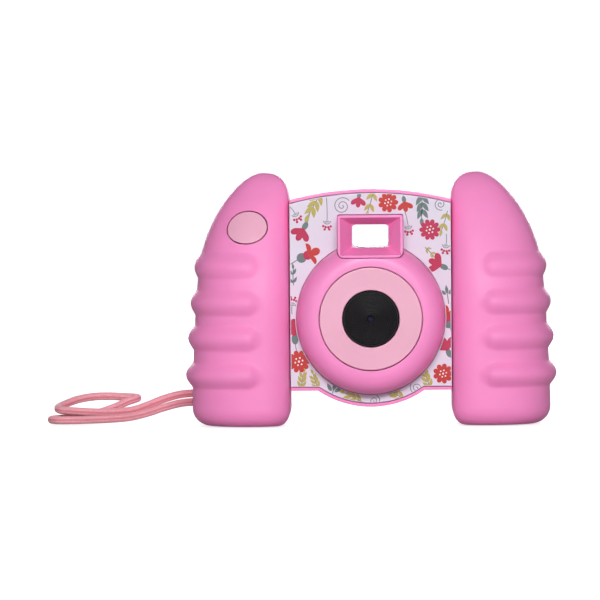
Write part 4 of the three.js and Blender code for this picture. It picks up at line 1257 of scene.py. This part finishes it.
def make_print():
    draw_flowers()
    back = PLATE_FRONT + 0.02
    margin = 0.3
    clip = hole(body_outline(RIM + GAP + margin, margin), PLATE_FRONT - 1, back + 1, plate_white)
    cut(clip, dome_hole(GAP + margin), hood_hole(GAP + margin))
    for ink, outlines in printed.items():
        material, thickness = INKS[ink]
        piece = prisms(f"print_{ink}", outlines, PLATE_FRONT - thickness, back, material)
        keep(piece, twin(clip, "limit"))
        piece.data.materials.clear()
        piece.data.materials.append(material)
        stands_for(piece, "camera", "printed_plate")
    bpy.data.objects.remove(clip)


make_print()


# ------------------------------------------------------------------ viewfinder's windows, tube and eyecup

def sight_slab(node, name, material, edge=0.15):
    """A flat window of the viewfinder, with lightly broken edges."""
    low, high = box(node)
    return slab(name, node_outline(node, 2.2), low[1], high[1], material, front=edge, back=edge, steps=2)


def make_viewfinder():
    for end in ("front", "rear"):
        window = sight_slab(f"viewfinder_{end}_window", f"sight_{end}_window", clear_window)
        stands_for(window, "camera", "clear_plastic", f"viewfinder_{end}_window")
    tube = cut(sight_slab("viewfinder_tube", "sight_tube", black_satin), sight_hole(-FAR, FAR))
    tidy(tube, 40.0)
    stands_for(tube, "camera", "black_plastic", "viewfinder_tube")


def make_eyecup():
    """A soft foot with a wall on it, whose mouth flares out."""
    low, high = box("eyecup")
    cup = slab("eyecup_soft", node_outline("eyecup", 4), low[1], low[1] + 1.7, pale_rubber, back=0.7)
    wall, mouth, flare = [
        rounded_rectangle(0, SIGHT_Z, *size) for size in ((21.5, 15.4, 3.6), (17.4, 11.6, 2.6), (18.4, 12.6, 3.1))
    ]
    join(cup, hole(wall, low[1] + 1, high[1], pale_rubber, back=1.3))
    cut(
        cup, hole(mouth, BODY_BACK + 4, FAR, pale_rubber), hole(flare, high[1] - 0.8, FAR, pale_rubber),
        sight_hole(-FAR, FAR),
    )
    soften(cup, 0.22, 2, 40.0)
    stands_for(cup, "camera", "pale_rubber", "eyecup")


make_viewfinder()
make_eyecup()


# ------------------------------------------------------------------ rear

KEYS = ("power_key", "mode_key", "play_key", "delete_key", "up_key", "down_key")
CASE_SCREWS = tuple(f"case_screw_{i}" for i in range(1, 5))
SCREWS = CASE_SCREWS + ("right_grip_screw", "left_grip_screw", "right_door_screw", "left_door_screw")
SPEAKER_X = centre("speaker")[0]
KEY_FLANGE = 0.8
BACK_ROUND = 2.0         # how far the rear casing's edge is rounded, and less at its sides
SIDE_ROUND = 1.2
SLOT_PITCH = 2.6         # of the speaker's slots: the middle one is the longest
SLOT_LENGTH = 11.0
SLOT_STEP = 1.8
SLOT_HEIGHT = 1.2


def make_rear_casing():
    stations = [(CROWN_Y + GAP / 2, 0.0)]
    for i in range(9):
        a = math.radians(90 * i / 8)
        stations.append((BODY_BACK - BACK_ROUND * (1 - math.sin(a)), 1 - math.cos(a)))
    rings = []
    for y, share in stations:
        flat = body_outline(BACK_ROUND * share, SIDE_ROUND * share)()
        rings.append(np.column_stack([flat[:, 0], np.full(len(flat), y), flat[:, 1]]))
    casing = loft("rear_casing_shell", rings, pink_case)
    cut(
        casing,
        hole(body_outline(BODY_WALL, BODY_WALL), -1, BODY_BACK - BODY_WALL),
        sight_hole(0, FAR, TUBE_WALL + GAP, 2.2),
        hole(node_outline("lcd_window", 1.5, GAP), 0),
        hole(node_outline("port_flap", 1, GAP), 0),
    )
    for node in KEYS:
        cut(casing, drum(half_width(node) - KEY_FLANGE + GAP, 0, FAR, *centre(node)))
    for node in CASE_SCREWS:
        cut(casing, drum(half_width(node) + GAP, 0, FAR, *centre(node)))
    for row in range(-2, 3):
        length = SLOT_LENGTH - abs(row) * SLOT_STEP
        slot = rounded_rectangle(SPEAKER_X, SIGHT_Z + row * SLOT_PITCH, length, SLOT_HEIGHT, 0.58, steps=5)
        cut(casing, hole(slot, 0))
    soften(casing, 0.15, 2, 50.0)
    stands_for(casing, "camera", "pink_shell", "rear_casing")


def make_screen():
    low, high = box("lcd_window")
    window = slab(
        "lcd_window_clear", node_outline("lcd_window", 1.2), low[1], high[1], clear_window, back=0.15, steps=2)
    stands_for(window, "camera", "clear_plastic", "lcd_window")
    low, high = box("screen_bezel")
    middle = centre("lcd_window")
    bezel = slab("screen_bezel_frame", node_outline("screen_bezel", 4), low[1], high[1], pale_pink, back=0.6)
    cut(bezel, hole(rounded_rectangle(*middle, 38.6, 28.6, 2), 0, FAR, pale_pink))
    soften(bezel, 0.25, 3, 50.0)
    stands_for(bezel, "camera", "pale_pink", "screen_bezel")
    low, high = box("lcd_panel")
    panel = slab(
        "lcd_panel_face", rounded_rectangle(*middle, 44, 34, 0.8), low[1], high[1], screen_dark,
        front=0.1, back=0.1, steps=2)
    stands_for(panel, "camera", "black_plastic", "lcd_panel")


def key_symbol(node):
    """Outlines of the plain sign on a key: on and off, three bars, a triangle, a bin, or up and down."""
    line = 0.34
    if node == "power_key":
        return [stroke(arc(0, 0, 1.35, 125, 415, 27), line), stroke([(0, 0.3), (0, 1.0), (0, 1.75)], line)]
    if node == "mode_key":
        return [stroke([(-1.3, z), (1.3, z)], line) for z in (1.0, 0, -1.0)]
    if node == "play_key":
        return [np.array([(-0.9, -1.25), (1.35, 0), (-0.9, 1.25)])]
    if node == "delete_key":
        tub = np.array([(-0.95, 0.55), (-0.75, -1.4), (0.75, -1.4), (0.95, 0.55)])
        return [tub, stroke([(-1.3, 1.0), (1.3, 1.0)], 0.36)]
    up = 1 if node == "up_key" else -1
    return [np.array([(-1.15, -0.7 * up), (1.15, -0.7 * up), (0, 1.15 * up)])]


key_ink = make_ink("ink_key", linear(150, 88, 118))


def make_keys():
    """Each key is a cap with a flange under the casing and a dished top, with its sign let into it."""
    dish, edge = 0.35, 0.5
    for node in KEYS:
        low, high = box(node)
        x, z = centre(node)
        flange = half_width(node)
        radius = flange - KEY_FLANGE
        top, inside = high[1], low[1] + 1.1
        profile = [(0, low[1]), (flange, low[1]), (flange, inside), (radius, inside), (radius, top - edge)]
        profile += arc(radius - edge, top - edge, edge, 15, 90, 6)
        profile += [(radius * s, top - dish * (1 - (s / 0.86) ** 2)) for s in (0.8, 0.65, 0.5, 0.35, 0.18)]
        profile.append((0, top - dish))
        key = turned(f"{node}_cap", profile, x, z, pale_pink, 64)
        stands_for(key, node, "pale_pink", node)
        outlines = [outline * (-1, 1) + (x, z) for outline in key_symbol(node)]
        sign = prisms(f"{node}_sign", outlines, top - 0.16, top - 0.5, key_ink)
        stands_for(sign, node, "pale_pink")


def make_flap():
    """A rubber flap with a ridge to pull it by and a groove where it bends."""
    low, high = box("port_flap")
    x, z = centre("port_flap")
    flap = slab("port_flap_soft", node_outline("port_flap", 0.8), low[1], BODY_BACK + 0.1, flap_rubber, back=0.35)
    ridge = rounded_rectangle(x, z + 6.1, 6, 1, 0.45)
    groove = rounded_rectangle(x, low[2] + 1.6, high[0] - low[0] + 2, 0.5, 0.2)
    join(flap, hole(ridge, BODY_BACK - 0.5, high[1], flap_rubber, back=0.3))
    cut(flap, hole(groove, BODY_BACK - 0.25, FAR, flap_rubber))
    soften(flap, 0.12, 2, 50.0)
    stands_for(flap, "port_flap", "pale_rubber", "port_flap")


def make_screw(node, body):
    """A turned screw with its thread as plain rings, and a cross cut into its domed head."""
    low, high = box(node)
    x, z = centre(node)
    head, shank, core = half_width(node), 1.2, 0.82
    top, tip = high[1], low[1]
    head_back, thread_start, pitch = top - 1.6, tip + 1.6, 0.8
    profile = [(0, tip), (shank * 0.6, tip + 0.6), (shank, tip + 1.4)]
    for i in range(int((top - 1.7 - tip - 1.6) / pitch)):
        y = thread_start + i * pitch
        profile += [(shank * core, y), (shank, y + pitch / 2)]
    profile += [(shank, head_back), (head, head_back), (head, top - 0.85)]
    profile += arc(head - 0.6, top - 0.75, 0.6, 0, 65, 5)
    profile += [(head * 0.5, top - 0.04), (0, top)]
    screw = turned(f"{node}_turned", profile, x, z, steel, 48)
    for wide, tall in ((1.4, 0.3), (0.3, 1.4)):
        rings = []
        for y, share in ((top - 0.9, 0.45), (top + 0.5, 1.0)):
            w, h = (wide * share, tall) if wide > tall else (wide, tall * share)
            rings.append([(x - w, y, z - h), (x + w, y, z - h), (x + w, y, z + h), (x - w, y, z + h)])
        cut(screw, loft("tool", rings, steel))
    tidy(screw, 35.0)
    stands_for(screw, body, "steel", node)


make_rear_casing()
make_screen()
make_keys()
make_flap()
for screw_node in SCREWS:
    side_word = screw_node.split("_")[0]
    make_screw(screw_node, f"{side_word}_door" if screw_node.endswith("door_screw") else "camera")


# ------------------------------------------------------------------ inside

CELL_FOOT = 0.0186       # the heights that the sleeve's bands run between, in metres
CELL_TOP = 0.0619


def make_cell_wrap():
    """A battery's printed sleeve: dark for most of its height and copper at the top."""
    material, tree, shader = new_material("cell_sleeve", 0.28, Metallic=0.85, Coat_Weight=0.6, Coat_Roughness=0.1)
    place = add(tree, "TexCoord")
    split = add(tree, "SeparateXYZ", Vector=place.outputs["Object"])
    span = add(tree, "MapRange", Value=split.outputs["Z"], From_Min=CELL_FOOT, From_Max=CELL_TOP)
    dark, copper = (0.030, 0.034, 0.045), (0.56, 0.27, 0.13)
    sleeve = ramp(tree, span.outputs["Result"], [
        (0.0, (0.55, 0.55, 0.56)), (0.02, dark), (0.70, dark),
        (0.705, copper), (0.975, copper), (0.98, grey(0.6)),
    ])
    feed(tree, shader, Base_Color=sleeve)
    bump(tree, shader, noise(tree, 1200.0, 3.0), 0.1, 0.00001)
    return material


def make_board(name, colour):
    """Solder mask over fine copper tracks."""
    material, tree, shader = new_material(name, 0.35, Coat_Weight=0.3, Coat_Roughness=0.15)
    place = add(tree, "TexCoord")
    turn = add(tree, "Mapping", Vector=place.outputs["Object"], Rotation=(math.pi / 2, 0, 0))
    tracks = add(
        tree, "TexBrick", Vector=turn.outputs["Vector"], Scale=420.0, Mortar_Size=0.03, Color1=(*colour, 1),
        Color2=(*shade(colour, 0.8), 1), Mortar=(*shade(colour, 2.2), 1),
    )
    feed(tree, shader, Base_Color=tracks.outputs["Color"])
    bump(tree, shader, tracks.outputs["Fac"], 0.3, 0.00004)
    return material


board_tracks = make_board("board_tracks", linear(22, 92, 50))
cell_sleeve = make_cell_wrap()


def make_cell(node):
    """A cell is turned along Y, then stood up."""
    low, high = box(node)
    radius = half_width(node)
    foot, top = low[2], high[2]
    can = top - 0.8
    profile = [(0, foot + 0.25), (2.6, foot + 0.25), (3.0, foot), (radius - 0.5, foot)]
    profile += arc(radius - 0.5, foot + 0.5, 0.5, -60, 0, 4)
    profile += arc(radius - 0.6, can - 0.6, 0.6, 0, 90, 5)
    profile += [(2.6, can), (2.5, can - 0.3), (1.95, can - 0.3), (1.9, top - 0.25), (1.6, top), (0, top)]
    cell = turned(f"{node}_turned", profile, 0, 0, cell_sleeve, 72)
    place = Matrix.Translation(Vector((centre(node)[0], (low[1] + high[1]) / 2, 0)) * MM)
    cell.data.transform(place @ Matrix.Rotation(math.pi / 2, 4, "X"))
    tidy(cell, 35.0)
    stands_for(cell, "camera", "cell_wrap", node)


def make_objective():
    low, high = box("objective_lens")
    radius = half_width("objective_lens")
    dome = high[1] - low[1] - 0.8
    profile = [(0, high[1]), (radius, high[1]), (radius, low[1] + dome)]
    profile += [(radius * math.cos(math.radians(a)), low[1] + dome * (1 - math.sin(math.radians(a))))
                for a in range(6, 90, 6)]
    profile.append((0, low[1]))
    lens = turned("objective_glass", profile, 0, LENS_Z, lens_glass, 64)
    stands_for(lens, "camera", "lens_glass", "objective_lens")


for cell_node in ("right_cell_1", "right_cell_2", "left_cell_1", "left_cell_2"):
    make_cell(cell_node)
make_objective()

CARRIED = {
    black_satin: (
        "lens_barrel", "image_sensor", "speaker", "memory_card", "shutter_switch",
        "right_battery_holder", "left_battery_holder",
    ),
    board_tracks: ("sensor_board", "main_board", "io_board", "shutter_board"),
    steel: ("usb_socket", "card_socket"),
    pale_rubber: ("keypad_membrane",),
}
for carried_material, nodes in CARRIED.items():
    for node in nodes:
        for place in bpy.data.objects[node].material_slots:
            place.material = carried_material


# ------------------------------------------------------------------ finish

WORLD_LIGHT = 0.16       # what the world gives as light; the camera sees it white


def seen_directly(tree):
    """1 for what the picture shows as it is or through a window, and 0 for light that falls on things."""
    rays = add(tree, "LightPath")
    either = add(tree, "Math")
    either.operation = "MAXIMUM"
    tree.links.new(rays.outputs["Is Camera Ray"], either.inputs[0])
    tree.links.new(rays.outputs["Is Transmission Ray"], either.inputs[1])
    return either.outputs["Value"]


def make_floor():
    """A white floor that the picture sees fade into the white of the world."""
    size = 6.0
    mesh = bpy.data.meshes.new("floor")
    corners = [(-size, -size, 0), (size, -size, 0), (size, size, 0), (-size, size, 0)]
    mesh.from_pydata(corners, [], [(0, 1, 2, 3)])
    material, tree, shader = new_material("floor_white", 0.85, Emission_Color=(1, 1, 1, 1))
    feed(tree, shader, Base_Color=ramp(tree, noise(tree, 6.0, 2.0), [(0.4, grey(0.52)), (0.6, grey(0.56))]))
    place = add(tree, "NewGeometry")
    distance = add(tree, "VectorMath")
    distance.operation = "LENGTH"
    tree.links.new(place.outputs["Position"], distance.inputs[0])
    glow = add(
        tree, "MapRange", Value=distance.outputs["Value"], From_Min=0.25, From_Max=1.4, To_Min=0.74, To_Max=1.0)
    level = add(tree, "Math")
    level.operation = "MULTIPLY"
    tree.links.new(glow.outputs["Result"], level.inputs[0])
    tree.links.new(seen_directly(tree), level.inputs[1])
    feed(tree, shader, Emission_Strength=level.outputs["Value"])
    mesh.materials.append(material)
    floor = bpy.data.objects.new("floor", mesh)
    floor.location.z = -0.0004
    COLLECTION.objects.link(floor)


def make_world():
    world = bpy.data.worlds.new("studio")
    world.use_nodes = True
    tree = world.node_tree
    level = add(tree, "MapRange", Value=seen_directly(tree), To_Min=WORLD_LIGHT, To_Max=1.1)
    feed(tree, tree.nodes["Background"], Color=(1, 1, 1, 1), Strength=level.outputs["Result"])
    bpy.context.scene.world = world
    bpy.context.scene.view_settings.view_transform = "Standard"


def area(name, place, width, height, power):
    """A light that points at the middle of the object."""
    data = bpy.data.lights.new(name, "AREA")
    data.shape = "RECTANGLE"
    data.size = width
    data.size_y = height
    data.energy = power
    light = bpy.data.objects.new(name, data)
    light.location = place
    light.rotation_euler = (Vector((0, 0, 0.05)) - Vector(place)).to_track_quat("-Z", "Y").to_euler()
    COLLECTION.objects.link(light)


make_floor()
make_world()
area("front", (0.0, -1.1, 0.44), 0.6, 0.2, 10.2)
area("left", (-1.0, -0.6, 0.4), 0.5, 0.5, 0.4)
area("right", (1.0, -0.6, 0.4), 0.5, 0.5, 0.4)
area("top", (0, 0.45, 1.1), 0.8, 0.5, 0.2)
area("behind", (0.0, 1.2, 0.32), 1.0, 0.4, 12.0)
